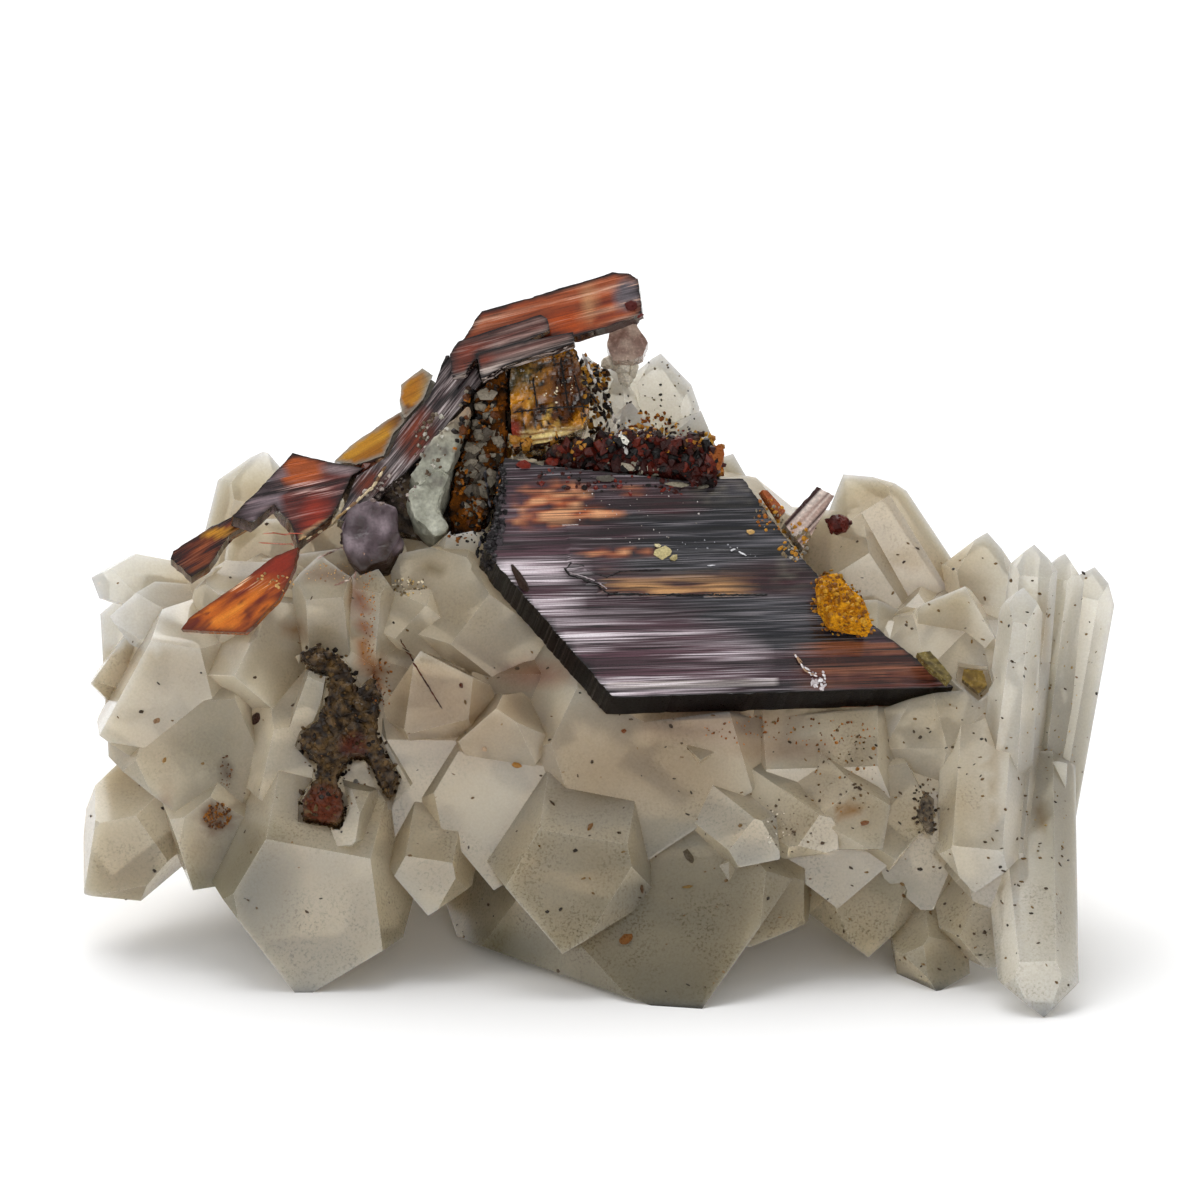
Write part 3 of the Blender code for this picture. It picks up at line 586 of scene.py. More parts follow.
def main_tint(right, up, deep, normal):
    """Plum and slate, embers of orange at the left, brick at the right, with painted white glints low
    on the left and along the lower edge; alpha is the share of painted glint on the lines.
    """
    if normal.dot(MAIN_AXES[2]) < 0.4:
        return blend(BLACK, colour("1c120e"), 0.2 + streak(right, up, 0.6, 1.5, 4))
    side = up - 0.028 * right
    cloud = streak(right, side, 0.9, 7.0, 3)
    fine = streak(right, side, 0.5, 11.0, 5) + 0.5 * streak(right, side, 0.22, 8.0, 6)
    grainy = murk(right * 1.9, up * 2.6, 3.0)
    dark, plum, pale, ember, worn = [zone(right, up, rows) for rows in MAIN_ZONES]
    shade = blend(colour("3e222c"), colour("181a22"), 2.0 * dark + 1.2 * cloud)
    shade = blend(shade, colour("5a5a60"), dark * (0.2 + 1.4 * fine))
    shade = blend(shade, colour("3e141c"), 1.1 * plum)
    # The pale zone: lighter mauve with white streaks, a painted reflection with painted glints.
    shade = blend(shade, blend(colour("5a3c46"), colour("d2c0c8"), 0.45 + 1.9 * fine), 1.2 * pale)
    warmth = 0.55 + 1.2 * streak(right, side, 0.30, 1.3, 8) + 1.3 * grainy
    shade = blend(shade, colour("b4582c"), 1.3 * ember * warmth)
    shade = blend(shade, colour("eaa878"), 1.4 * ember * (warmth - 0.6))
    above = up - terrace_edge(right)
    tan = 0.0
    if 0.0 <= above < 1.5:
        tan = clamped(1.4 - above) * clamped(right + 0.2) * clamped((8.2 - right) / 2)
        grain = streak(right, side, 0.16, 2.6, 9) + 0.6 * streak(right, side, 0.5, 2.0, 10)
        shade = blend(shade, blend(colour("5a2c1c"), colour("d09a62"), 0.55 + 1.6 * grain), tan)
    brick = clamped((right - 9.6) / 1.6) * (side < 18.0 + 0.3 * cloud)
    clay = blend(colour("5a281c"), colour("8e5438"), 0.25 + 1.8 * fine + 0.6 * grainy)
    shade = blend(shade, clay, 0.95 * brick)
    # Share of painted glint that the finish lays on the bright lines.
    glint_share = 0.12 + pale * (0.55 + 1.5 * fine) + 0.2 * max(0.0, cloud) - 0.4 * min(1.0, ember)
    glint_share *= (1.0 - 0.9 * tan) * (1.0 - 0.8 * brick) * (1.0 - 0.7 * min(1.0, plum))
    # A painted highlight along the lower edge of the main crystal.
    if 0.0 < side - 15.95 < 0.4 and right < 9.0:
        shade = blend(shade, colour("c8bcb8"), 0.6 + 1.2 * cloud)
        glint_share = 1.0
    shade = blend(shade, colour("7d7668"), 0.9 * worn * (0.3 + 1.5 * grainy))
    return (*shade, glint_share)


def blade_tint(right, up, deep, normal):
    """Orange-red with pale bands, and slate at its right end."""
    band = streak(right, up - 0.27 * right, 0.35, 6.0, 21)
    shade = layered(colour("b4562a"), ("d49a7c", 1.5 * band), ("6e200c", -1.5 * band))
    shade = patched(shade, right, up, [
        ((-1.6, 34.5), (1.6, 1.0), "c4500c", 1.0), ((-0.6, 35.6), (0.5, 1.4), "c89064", 0.8),
        ((1.4, 36.0), (0.8, 1.0), "6f666c", 1.5),
    ])
    shade = blend(shade, colour("1e1416"), 0.85 * aslant(normal))
    return (*shade, 0.15 + 1.2 * band)


def step_tint(right, up, deep, normal):
    """Mauve-brown plates, with a silver-grey ledge below."""
    band = streak(right, up - 0.30 * right, 0.25, 4.0, 31)
    shade = blend(colour("6a3c34"), colour("a08078"), 1.5 * band + 0.2)
    shade = patched(shade, right, up, [((-6.4, 32.6), (1.2, 1.2), "8a3418", 0.9)])
    ledge = (right + 6.5) * 0.33 + 32.0
    low = clamped((ledge - up + 0.3) * 2.0)
    shade = blend(shade, blend(colour("3c3436"), colour("a89c94"), 0.4 + 1.4 * band), low)
    shade = blend(shade, colour("1a1214"), 0.7 * aslant(normal))
    return (*shade, 0.15 + 0.7 * low)


def gold_level(right, up):
    """Shattered planes of the golden crystal: high and low steps with sharp edges between them."""
    bend = 0.4 * murk(right * 0.8, up * 0.8, 44.0)
    broad = murk((right + bend) * 0.9, (up - bend) * 0.6, 4.4)
    return math.floor(4.0 * broad) / 4.0, murk(right * 1.7 - 0.6 * up, up * 0.9, 9.1)


def gold_tint(right, up, deep, normal):
    """Shattered golden brown, with painted yellow highlights, black cracks, a leafy yellow foot and a
    dark crown.
    """
    level, fine = gold_level(right, up)
    # The pale yellow layer is painted highlight; the dark one is real speckle.
    shade = layered(
        colour("5a2e04"), ("d08808", 0.55 + 1.6 * level + 0.5 * fine),
        ("f0c45c", 2.2 * (fine - 0.3)), ("140a04", 2.6 * (-fine - 0.14))
    )
    split = abs(murk(right * 1.4 + 0.4 * up, up * 0.5, 17.0))
    cross = abs(murk(right * 0.5, up * 1.5 - 0.3 * right, 27.0))
    shade = blend(shade, BLACK, 1.3 - min(split, cross) / 0.03)
    foot = clamped((29.65 - up + 0.12 * right) / 0.3)
    leafy = streak(right, up - 0.12 * right, 0.13, 2.0, 43)
    shade = blend(shade, blend(colour("7a4c14"), colour("ecd28a"), 0.55 + 2.0 * leafy), foot)
    shade = patched(shade, right, up, [
        ((-4.4, 28.9), (0.5, 0.9), "8c2c14", 1.2), ((-4.2, 32.0), (1.6, 1.4), "3c3418", 0.9),
    ])
    return blend(shade, colour("2a1508"), 0.8 * max(0.0, up - 32.2) * (0.6 + fine))


def amber_tint(right, up, deep, normal):
    """Clear yellow with a grey-green side and fine dark lines."""
    line = streak(right, up - 0.6 * right, 0.4, 2.0, 51)
    return layered(
        colour("b8740c"), ("e0a42c", 1.6 * line), ("7c4a18", 1.5 * (right + 10.9) * (up < 30.4)),
        ("8c8468", 1.2 * (right + 9.3) / 0.9 * (up > 30.2)), ("b8b0a0", 0.75 * aslant(normal))
    )


def ridge_tint(right, up, deep, normal):
    """Strands of mauve, grey and rust that run down along the ridge."""
    run, side = 0.61 * right + 0.79 * up, 0.79 * right - 0.61 * up
    line = streak(run, side, 0.22, 1.8, 61) + 0.6 * streak(run, side, 0.09, 0.9, 62)
    shade = layered(colour("4e3a3c"), ("b8a8a6", 1.4 * line), ("171114", -1.9 * line - 0.1))
    rust = zone(right, up, [(1.0, (-9.4, 29.0), (1.2, 1.8)), (0.8, (-11.6, 26.4), (1.2, 0.8))])
    shade = blend(shade, colour("7a3014"), 1.1 * rust)
    return (*shade, 0.45 + line - 0.5 * rust)


def wing_tint(right, up, deep, normal):
    """Deep red with a painted mauve sheen, orange at the upper tip and a cream seam along its lower
    right.
    """
    side = up - 0.25 * right
    band = streak(right, side, 0.35, 3.0, 71) + 0.4 * streak(right, side, 0.12, 2.0, 73)
    shade = layered(colour("56140c"), ("94544c", band), ("260806", -2.0 * band))
    # The pale mauve patch at (-12.8, 27.2) is a painted sheen.
    shade = patched(shade, right, up, [
        ((-15.3, 27.1), (1.5, 0.9), "b8561c", 1.6), ((-12.8, 27.2), (1.6, 0.45), "a08a8c", 1.1),
        ((-14.4, 24.6), (0.9, 1.5), "9a2c14", 1.0), ((-12.4, 25.9), (1.3, 0.9), "4a2a30", 1.1),
    ])
    foot = 23.3 + 0.62 * (right + 15.3) - up
    shade = blend(shade, colour("d8bc8c"), 1.2 * (1.0 - abs(foot + 0.3) / 0.22) * (right > -15.2))
    if right < -16.0:
        shade = blend(shade, blend(colour("241c20"), colour("8c8088"), 0.5 + 1.6 * band), 0.8)
    # Alpha: painted highlight on the lines, strongest in a band across the upper part.
    return (*shade, 0.8 * soft_spot(right, up, (-14.6, 26.2), (2.4, 0.5)) + 0.4 * band)


def arm_tint(right, up, deep, normal):
    """Dark red-brown with a yellow seam in the middle."""
    line = streak(right, up - 0.6 * right, 0.3, 1.6, 81)
    shade = layered(colour("4a140a"), ("a04c1c", 1.6 * line), ("1c0604", -1.6 * line))
    shade = patched(shade, right, up, [
        ((-19.2, 23.9), (1.4, 0.3), "d89420", 1.6), ((-19.8, 24.4), (0.9, 0.3), "7c6468", 1.0),
    ])
    return (*shade, 0.1)


def leaf_tint(right, up, deep, normal):
    """Glowing orange, red-brown at the top, with dark veins."""
    run, side = 0.83 * right + 0.55 * up, 0.55 * right - 0.83 * up
    line = streak(run, side, 0.5, 1.6, 91) + 0.4 * streak(run, side, 0.2, 0.8, 92)
    shade = layered(colour("c8620c"), ("f0962c", 0.9 * line), ("6a2006", -2.6 * line - 0.1))
    vein = abs(murk(run * 0.7, side * 1.6, 95.0))
    shade = layered(shade, ("581a06", 0.9 - vein / 0.05), ("8c2408", 1.3 * (up - 20.6) / 1.8))
    # Alpha: a band of painted highlight on the lines across the leaf.
    return (*shade, 1.3 * soft_spot(right, up, (-18.2, 21.3), (2.4, 0.4)))


def dark_lump_tint(right, up, deep, normal):
    """Mauve-grey, dark brown in noisy patches and along its lower part."""
    cloud = streak(right, up, 0.7, 0.7, 101)
    return layered(
        colour("4a3a40"), ("8a7a80", 1.6 * cloud),
        ("2e1c14", max(0.0, -1.6 * cloud) + max(0.0, (23.1 - up) / 0.8))
    )


def pale_lump_tint(right, up, deep, normal):
    """Pale greenish grey with darker hollows."""
    cloud = streak(right, up, 0.8, 0.8, 111) + 0.4 * streak(right, up, 0.25, 0.25, 112)
    return layered(
        colour("9a9a8a"), ("c2c2b2", cloud), ("6b665c", -1.5 * cloud),
        ("8b7055", 0.7 * (up - 28.3) / 1.4)
    )


def small_book_tint(right, up, deep, normal):
    """Thin pinkish and dark leaves, seen on edge."""
    line = streak(right, 0.74 * right - 0.67 * up, 0.10, 6.0, 121)
    return layered(colour("b89c90"), ("f0e6dc", 1.8 * line), ("38201e", -3.0 * line - 0.2))


def left_crust_tint(right, up, deep, normal):
    """Black-brown grains, with a clear red-brown foot."""
    cloud = streak(right, up, 0.35, 0.35, 141)
    shade = blend(colour("1c120a"), colour("5c4628"), 0.4 + 1.6 * cloud)
    return patched(shade, right, up, [
        ((-13.9, 10.2), (1.2, 1.2), "54240e", 1.5), ((-12.4, 13.2), (0.9, 0.8), "4a1c0a", 1.0),
    ])


def flat_tint(code, other, pitch=0.4):
    """A painter of one colour clouded with another."""

    def painter(right, up, deep, normal):
        cloud = streak(right, up + deep, pitch, pitch, 131)
        return blend(colour(code), colour(other), 0.5 + 1.3 * cloud)

    return painter


# Stains and painted shade on the quartz: middle and half sizes in the view, colour, and strength.
STAINS_AND_SHADE = [
    # The pinkish browns just under the main crystal, at (1.5, 12.6), (6.0, 14.4) and (-3.2, 16.8), are
    # painted shade with a painted reddish reflection; the orange and brown rows are iron stains.
    ((-7.5, 15.2), (5.5, 3.6), "a88e70", 0.8), ((1.5, 12.6), (7.0, 3.4), "a48c6c", 0.7),
    ((-19.4, 9.5), (0.9, 0.9), "7a4c14", 1.4), ((-18.9, 11.8), (0.5, 0.9), "5a3410", 1.0),
    ((-11.9, 18.6), (0.35, 2.4), "a85f12", 1.1), ((-12.2, 20.6), (0.5, 1.0), "96500e", 1.3),
    ((-11.3, 16.6), (0.5, 1.4), "8a4c10", 1.2), ((-13.6, 21.8), (2.0, 0.6), "a08878", 0.8),
    ((-15.4, 18.9), (0.9, 0.5), "a06a28", 0.7), ((-22.2, 10.4), (0.5, 0.25), "a05a20", 1.2),
    ((12.4, 9.9), (0.8, 0.4), "a57220", 1.0), ((9.0, 13.0), (3.2, 0.8), "96643c", 0.55),
    ((6.0, 14.4), (5.0, 1.4), "a47e68", 0.6), ((-3.2, 16.8), (2.4, 0.9), "b07a62", 0.8),
    ((15.5, 22.6), (1.4, 0.6), "b29a6c", 0.7), ((23.2, 12.0), (2.6, 11.0), "9a937c", 0.75),
    ((22.4, 19.0), (0.4, 2.4), "9c8250", 0.6), ((19.8, 12.0), (0.3, 3.6), "9c8250", 0.5),
    ((22.2, 9.4), (0.4, 1.2), "8c7038", 0.8), ((-8.2, 22.1), (1.2, 0.3), "8a7a58", 0.8),
    # The dull olive greys at (3.6, 1.0), (-17.6, 6.0), (-20.8, 5.6), (5.0, 5.6), (-4.6, 2.6) and (14.8,
    # 6.0) make the quartz darker towards the bottom.
    ((3.6, 1.0), (7.0, 2.6), "857e68", 0.7), ((-17.6, 6.0), (3.0, 4.4), "6f6c58", 0.8),
    ((-20.8, 5.6), (2.2, 1.8), "6f6e58", 0.9), ((-19.6, 13.0), (2.4, 3.0), "a9a694", 0.5),
    ((5.0, 5.6), (6.0, 3.4), "908a76", 0.7), ((-4.6, 2.6), (3.0, 1.8), "6e6a50", 0.8),
    ((14.8, 6.0), (1.8, 1.0), "8b866e", 0.5),
]
STAIN_AND_SHADE_DEPTH = 14.0  # mm into the view; what lies deeper has none


def quartz_tint(right, up, deep, normal):
    """Warm grey, cloudy, with stains of iron and patches of painted shade; greener and darker low down
    and paler at the ends and top, partly painted light; alpha is the moss.
    """
    cloud = noise.noise(Vector((right, up, deep)) * 0.35)
    shade = blend(colour("d8cfbb"), colour("c6b89e"), 0.5 + cloud)
    # Greener and darker low down: partly olive moss, partly painted shade.
    low = clamped((13.0 - up) / 10.0)
    shade = blend(shade, colour("b6a888"), 0.6 * low)
    # Paler at the right and left ends and at the top: partly clearer quartz, partly painted light.
    clear = clamped((right - 18.0) / 3.0) + clamped((-20.5 - right) / 3.0) * (up > 18)
    clear += clamped((up - 26.0) / 3.0)
    shade = blend(shade, colour("ece9e0"), 0.8 * clear)
    # Iron stains, and painted shade under the main crystal.
    if deep < STAIN_AND_SHADE_DEPTH:
        shade = patched(shade, right, up, STAINS_AND_SHADE)
    # Alpha: more moss low down, where it also deepens the painted shade, and less where the quartz is
    # painted paler.
    return (*shade, 0.15 + 0.75 * low + 0.5 * cloud - 0.5 * clear)


# Relief


def main_relief(right, up):
    """The raised step in the middle of the main crystal."""
    above = up - terrace_edge(right)
    if above < 0.0:
        return 0.0
    return 0.15 * max(0.0, 1.0 - max(0.0, right - 6.5) / 2.5) * max(0.0, 1.0 - above / 2.6)


def gold_relief(right, up):
    """Shattered planes of the golden crystal."""
    level, fine = gold_level(right, up)
    return 0.5 * level + 0.2 * fine


# Settings


class QuartzSettings(bpy.types.PropertyGroup):
    """What a user would change about the quartz."""

    edge_width: FloatProperty(
        name="Edge width", description="Width of the worn crystal edges",
        default=0.12 * MM, min=0.0, unit="LENGTH",
    )
    clarity: FloatProperty(
        name="Clarity", description="How much light passes through the faces",
        default=0.5, min=0.0, max=1.0, subtype="FACTOR",
    )
    body_colour: FloatVectorProperty(
        name="Body colour", description="What the inside of the quartz lets through",
        default=colour("e0cfae"), size=3, subtype="COLOR",
    )
    body_density: FloatProperty(
        name="Body density", description="How fast the inside takes light away, per metre",
        default=35.0, min=0.0,
    )
    glow_depth: FloatProperty(
        name="Glow depth", description="How far light spreads in the milky quartz",
        default=3.5 * MM, min=0.0, unit="LENGTH",
    )
    specks: IntProperty(
        name="Specks", description="Number of dark flakes in the quartz",
        default=520, min=0,
    )


class BrookiteSettings(bpy.types.PropertyGroup):
    """What a user would change about the brookite."""

    line_depth: FloatProperty(
        name="Growth line depth", description="Height of the growth lines on the main crystal",
        default=0.024 * MM, min=0.0, unit="LENGTH",
    )


class CrustSettings(bpy.types.PropertyGroup):
    """What a user would change about the crusts."""

    grain_size: FloatProperty(
        name="Grain size", description="Half size of the grains in the crusts",
        default=0.20 * MM, min=0.0, unit="LENGTH",
    )


class StageSettings(bpy.types.PropertyGroup):
    """What a user would change about the floor and the light."""

    floor_colour: FloatVectorProperty(
        name="Floor colour", description="Colour of the floor",
        default=colour("fbfbfb"), size=3, subtype="COLOR",
    )
    sky_front: FloatProperty(
        name="Sky in front", description="Brightness of the surroundings in front",
        default=0.34, min=0.0,
    )
    sky_back: FloatProperty(
        name="Sky behind", description="Brightness of the surroundings behind",
        default=0.95, min=0.0,
    )


# Operators


class SPECIMEN_OT_quartz(bpy.types.Operator):
    """Dress the quartz cluster"""

    bl_idname = "specimen.quartz"
    bl_label = "Quartz cluster"

    def execute(self, context):
        settings = context.scene.specimen_quartz
        shape = node_shape("quartz_cluster")
        edges = [
            edge for edge in shape.edges
            if len(edge.link_faces) == 2 and edge.calc_face_angle(0.0) > math.radians(14)
        ]
        worn = bmesh.ops.bevel(
            shape, geom=edges, offset=settings.edge_width, offset_type="OFFSET", segments=1,
            profile=0.5, affect="EDGES", clamp_overlap=True, material=-1,
        )
        for face in worn["faces"]:
            face.material_index = 1
        refine(shape, 0.9, 5)
        clarity = settings.clarity
        # Milky quartz, etched as it grew: satin faces with a soft glow from inside.
        etched = quartz_finish("quartz_milky_etched_faces", settings, clarity, (0.12, 0.22))
        # The same where it chipped: edges scatter light, so they are paler and dull, and their pale
        # tint is also a painted highlight along the edges.
        chipped = quartz_finish("quartz_milky_worn_edges", settings, clarity / 2, (0.3, 0.5))
        finish_piece(
            "quartz_cluster_grown", shape, [etched, chipped], "quartz_cluster",
            quartz_tint, WORN_EDGE_AND_HIGHLIGHT,
        )
        return {"FINISHED"}


class SPECIMEN_OT_main_crystal(bpy.types.Operator):
    """Dress the large striated brookite crystal"""

    bl_idname = "specimen.main_crystal"
    bl_label = "Main brookite crystal"

    def execute(self, context):
        depth = context.scene.specimen_brookite.line_depth / MM
        node = "brookite_main_crystal"
        # Brookite, striated as it grew: long lines of black, and of silver that is a painted highlight,
        # over mauve.
        face = striated_finish(
            "brookite_striated_submetallic", MAIN_AXES, 0.065, 60.0, (0.10, 0.26), 0.85, "f0e6ec"
        )
        # Its side, grown in small steps: pitch black with little gloss.
        rim = tinted_finish("brookite_black_side", 0.1, 0.01, 0.2, (0.25, 0.5), 1.5, 0.15)
        shape = grow_plate(
            node, MAIN_AXES, (0.04, 0.10), (0.25, 0.6), depth, 3, ragged=0.07, relief=main_relief
        )
        for side in shape.faces:
            side.material_index = int(side.normal.dot(MAIN_AXES[2]) < 0.5)
        painter = rimmed(main_tint, node, MAIN_AXES, "0c090a", 0.16, 0.7)
        finish_piece("main_crystal", shape, [face, rim], node, painter)
        return {"FINISHED"}


# Name, slopes to the right and up with the lines' turn in degrees, height of the lines in mm,
# painter, how black the lines are and the colour of their painted highlights, slot, and the seam's
# colour, width and strength.
BLADES = [
    ("top_blade", (-0.10, 0.35, 15.0), 0.014, blade_tint, (0.4, "e0b49c"), "brookite_orange",
     ("1e1416", 0.3, 0.8)),
    ("step_plates", (-0.10, 0.35, 16.0), 0.02, step_tint, (0.6, "c8b8b0"), "brookite_mauve",
     ("1c1416", 0.2, 0.8)),
    ("amber_blades", (0.0, 0.30, 30.0), 0.014, amber_tint, (0.25, "f0d080"), "brookite_gold",
     ("a8a294", 0.2, 0.7)),
    ("ridge", (0.05, 0.25, 52.0), 0.055, ridge_tint, (0.75, "d0c4c4"), "brookite_mauve",
     ("140f10", 0.2, 0.5)),
    ("left_wing", (0.10, 0.50, 14.0), 0.03, wing_tint, (0.4, "d8b0a8"), "brookite_red_brown",
     ("1c0c08", 0.2, 0.7)),
    ("left_arm", (0.0, 0.40, 32.0), 0.035, arm_tint, (0.5, "c89070"), "brookite_red_brown",
     ("1c0c08", 0.3, 0.6)),
    ("leaf", (-0.20, 0.30, 34.0), 0.02, leaf_tint, (0.15, "f4c8a0"), "brookite_orange",
     ("5a200c", 0.25, 0.6)),
]


class SPECIMEN_OT_blades(bpy.types.Operator):
    """Dress the orange, mauve and red-brown blades"""

    bl_idname = "specimen.blades"
    bl_label = "Brookite blades"

    def execute(self, context):
        for seed, (name, plane, depth, painter, lines, slot, seam) in enumerate(BLADES, 11):
            node = "brookite_" + name
            axes = plate_axes(*plane)
            # Thin brookite, as it grew: glossy, with its own warm colour between fine dark lines, and
            # pale lines of painted highlight.
            finish = striated_finish("brookite_glossy_" + name, axes, 0.08, 22.0, (0.06, 0.22), *lines)
            shape = grow_plate(node, axes, (0.06, 0.14), (0.2, 0.45), depth, seed)
            finish_piece(name, shape, [finish], node, rimmed(painter, node, axes, *seam))
        return {"FINISHED"}


# Name, slopes and turn as for the blades, height of the lines in mm, painter, slot.
BOOKS = [
    ("golden_book", (0.0, 0.15, 8.0), 0.02, gold_tint, "brookite_gold"),
    ("round_crystal", (0.0, 0.2, 60.0), 0.015, flat_tint("86685c", "b09888", 0.6), "brookite_mauve"),
    ("small_book", (0.1, 0.2, 47.0), 0.04, small_book_tint, "brookite_mauve"),
    ("rust_chip", (0.1, 0.3, -50.0), 0.03, flat_tint("a8582c", "7c4830"), "brookite_orange"),
    ("square_chip", (0.0, 0.3, 0.0), 0.03, flat_tint("9a4a14", "c07a2c"), "brookite_gold"),
    ("chip_a", (0.2, 0.5, -40.0), 0.03, flat_tint("4c4024", "80703c", 0.2), "brookite_gold"),
    ("chip_b", (0.0, 0.3, -20.0), 0.04, flat_tint("5a4318", "8c7230", 0.3), "brookite_gold"),
    ("chip_c", (0.0, 0.3, 80.0), 0.05, flat_tint("2e2720", "6a5c48", 0.2), "brookite_gold"),
]


class SPECIMEN_OT_books(bpy.types.Operator):
    """Dress the golden and leafy crystals and the small chips"""

    bl_idname = "specimen.books"
    bl_label = "Books and chips"

    def execute(self, context):
        # Brookite split into leaves: glassy where a leaf is whole and dull where it broke.
        finish = tinted_finish("brookite_golden_leafy", 0.15, 0.01, 0.2, (0.08, 0.3), 1.8, 0.3)
        for seed, (name, plane, depth, painter, slot) in enumerate(BOOKS, 31):
            node = "brookite_" + name
            relief = gold_relief if name == "golden_book" else None
            axes = plate_axes(*plane)
            shape = grow_plate(node, axes, (0.06, 0.14), (0.07, 0.16), depth, seed, relief=relief)
            finish_piece(name, shape, [finish], node, painter)
        return {"FINISHED"}


class SPECIMEN_OT_lumps(bpy.types.Operator):
    """Dress the rounded lumps at the left of the main crystal"""

    bl_idname = "specimen.lumps"
    bl_label = "Rounded lumps"

    def execute(self, context):
        # Brookite and clay, rounded by weathering: matt, with a weak sheen on the swellings.
        finish = tinted_finish("mineral_lump_dull", 0.2, 0.03, 0.2, (0.35, 0.7), 1.55)
        rows = [
            ("dark_lump", "brookite_dark_lump", dark_lump_tint, "brookite_mauve"),
            ("pale_lumps", "pale_matrix_lumps", pale_lump_tint, "clay_pale_grey"),
        ]
        for seed, (name, node, painter, slot) in enumerate(rows, 51):
            shape = node_shape(node)
            edges = [edge for edge in shape.edges if edge.calc_face_angle(0.0) > math.radians(25)]
            bmesh.ops.bevel(
                shape, geom=edges, offset=0.45 * MM, offset_type="OFFSET", segments=3,
                profile=0.5, affect="EDGES", clamp_overlap=True, material=-1,
            )
            refine(shape, 0.25, 5)
            pushed(shape, 0.35, 2.4, seed)
            pushed(shape, 0.12, 0.8, seed)
            finish_piece(name, shape, [finish], node, painter)
        return {"FINISHED"}


# Name, node, number and relative size of the grains, painter, whether powdery, slot.
CRUST_ROWS = [
    ("crust_top", "iron_oxide_crust_top", 260, 1.3, flat_tint("0c0302", "44120a", 0.6), False,
     "iron_oxide_rust"),
    ("crust_left", "iron_oxide_crust_left", 420, 1.0, left_crust_tint, False, "iron_oxide_dark"),
    ("crevice_fill", "iron_oxide_crevice_fill", 160, 1.1, flat_tint("2a201a", "8a765f", 0.9), False,
     "iron_oxide_dark"),
    ("limonite_left", "limonite_crust_left", 320, 0.9, flat_tint("6a3a08", "0e0804", 0.7), True,
     "limonite_ochre"),
    ("limonite_right", "limonite_crust_right", 500, 0.4, flat_tint("d0901a", "9a5c0c", 0.3), True,
     "limonite_ochre"),
    ("oxide_grain", "oxide_grain_right", 14, 0.7, flat_tint("3a100a", "5c1c10", 0.4), False,
     "iron_oxide_rust"),
]


class SPECIMEN_OT_crusts(bpy.types.Operator):
    """Dress the crusts of iron oxide and limonite with grains"""

    bl_idname = "specimen.crusts"
    bl_label = "Iron oxide crusts"

    def execute(self, context):
        half = context.scene.specimen_crust.grain_size / MM
        # Iron oxide, grown as grains: dark, with small blunt glints.
        rust = tinted_finish("iron_oxide_grainy", 0.15, 0.02, 0.3, (0.2, 0.5), 1.6, 0.15)
        # Limonite, weathered to powder: matt ochre without glints.
        ochre = tinted_finish("limonite_powdery", 0.12, 0.04, 0.3, (0.6, 0.95), 1.5, 0.1)
        for seed, (name, node, count, scale, painter, powdery, slot) in enumerate(CRUST_ROWS, 61):
            chance = random.Random(seed)
            shape = node_shape(node)
            refine(shape, 0.35, 4)
            pushed(shape, 0.06, 0.4, seed)
            grains = Grains(chance)
            for place, normal in surface_spots(node, count, chance):
                size = half * scale * chance.uniform(0.5, 1.3)
                grains.add_turned(place - normal * size * 0.4 * MM, size)
            grains.pour(shape)
            finish_piece(name, shape, [ochre if powdery else rust], node, painter)
        return {"FINISHED"}


# Larger flakes on the quartz: right, up, length, width in mm, turn in degrees, colour.
FLAKES = [
    (-2.4, 10.3, 0.5, 0.16, -55, "3c2c1c"), (-0.5, 9.1, 0.62, 0.26, 60, "6e4a22"),
    (4.45, 7.6, 0.9, 0.45, -60, "4a4030"), (2.1, 6.0, 0.5, 0.25, -70, "4a3218"),
    (1.3, 3.5, 0.75, 0.6, 40, "6e4418"), (4.4, 6.1, 0.6, 0.2, 5, "6e5426"),
    (1.2, 13.9, 0.3, 0.25, 0, "6e3c1c"), (-7.0, 16.2, 0.3, 0.3, 20, "4a2412"),
    (-20.6, 18.9, 0.45, 0.2, 10, "8a5420"), (-22.4, 14.4, 0.4, 0.3, 30, "8a6a4c"),
    (-22.0, 12.4, 0.35, 0.25, 60, "96703c"), (-17.4, 14.5, 0.9, 0.8, 20, "2a0e0a"),
    (-17.4, 16.6, 0.25, 0.15, 0, "3c2c1c"), (-5.8, 13.0, 0.3, 0.3, 0, "b09478"),
    (-4.2, 12.2, 0.6, 0.35, -20, "96682c"), (14.8, 17.4, 0.5, 0.2, -20, "6e3c20"),
    (13.3, 9.3, 0.5, 0.3, 20, "6e4424"), (15.3, 5.6, 0.4, 0.2, -30, "5a4020"),
    (21.3, 7.5, 0.35, 0.15, 0, "5a4020"), (11.1, 3.2, 0.3, 0.15, 60, "6e4820"),
    (-15.5, 15.2, 0.3, 0.15, 40, "4a3624"), (9.6, 19.8, 0.3, 0.2, 0, "5a4c40"),
    (8.8, 22.2, 0.6, 0.35, 20, "78747c"), (-12.3, 11.3, 0.4, 0.4, 0, "78746c"),
    (18.8, 18.4, 0.3, 0.12, 80, "6e5020"), (20.2, 19.4, 0.3, 0.15, -10, "6e5020"),
]
NEEDLE = ((-10.1, 18.5), (-8.0, 15.1))
SPECK_CODES = ["3a2c1e", "5c4426", "4a3a2a", "6e5430", "2c241c"]
RIGHT_END = 25.5    # mm to the right in the view

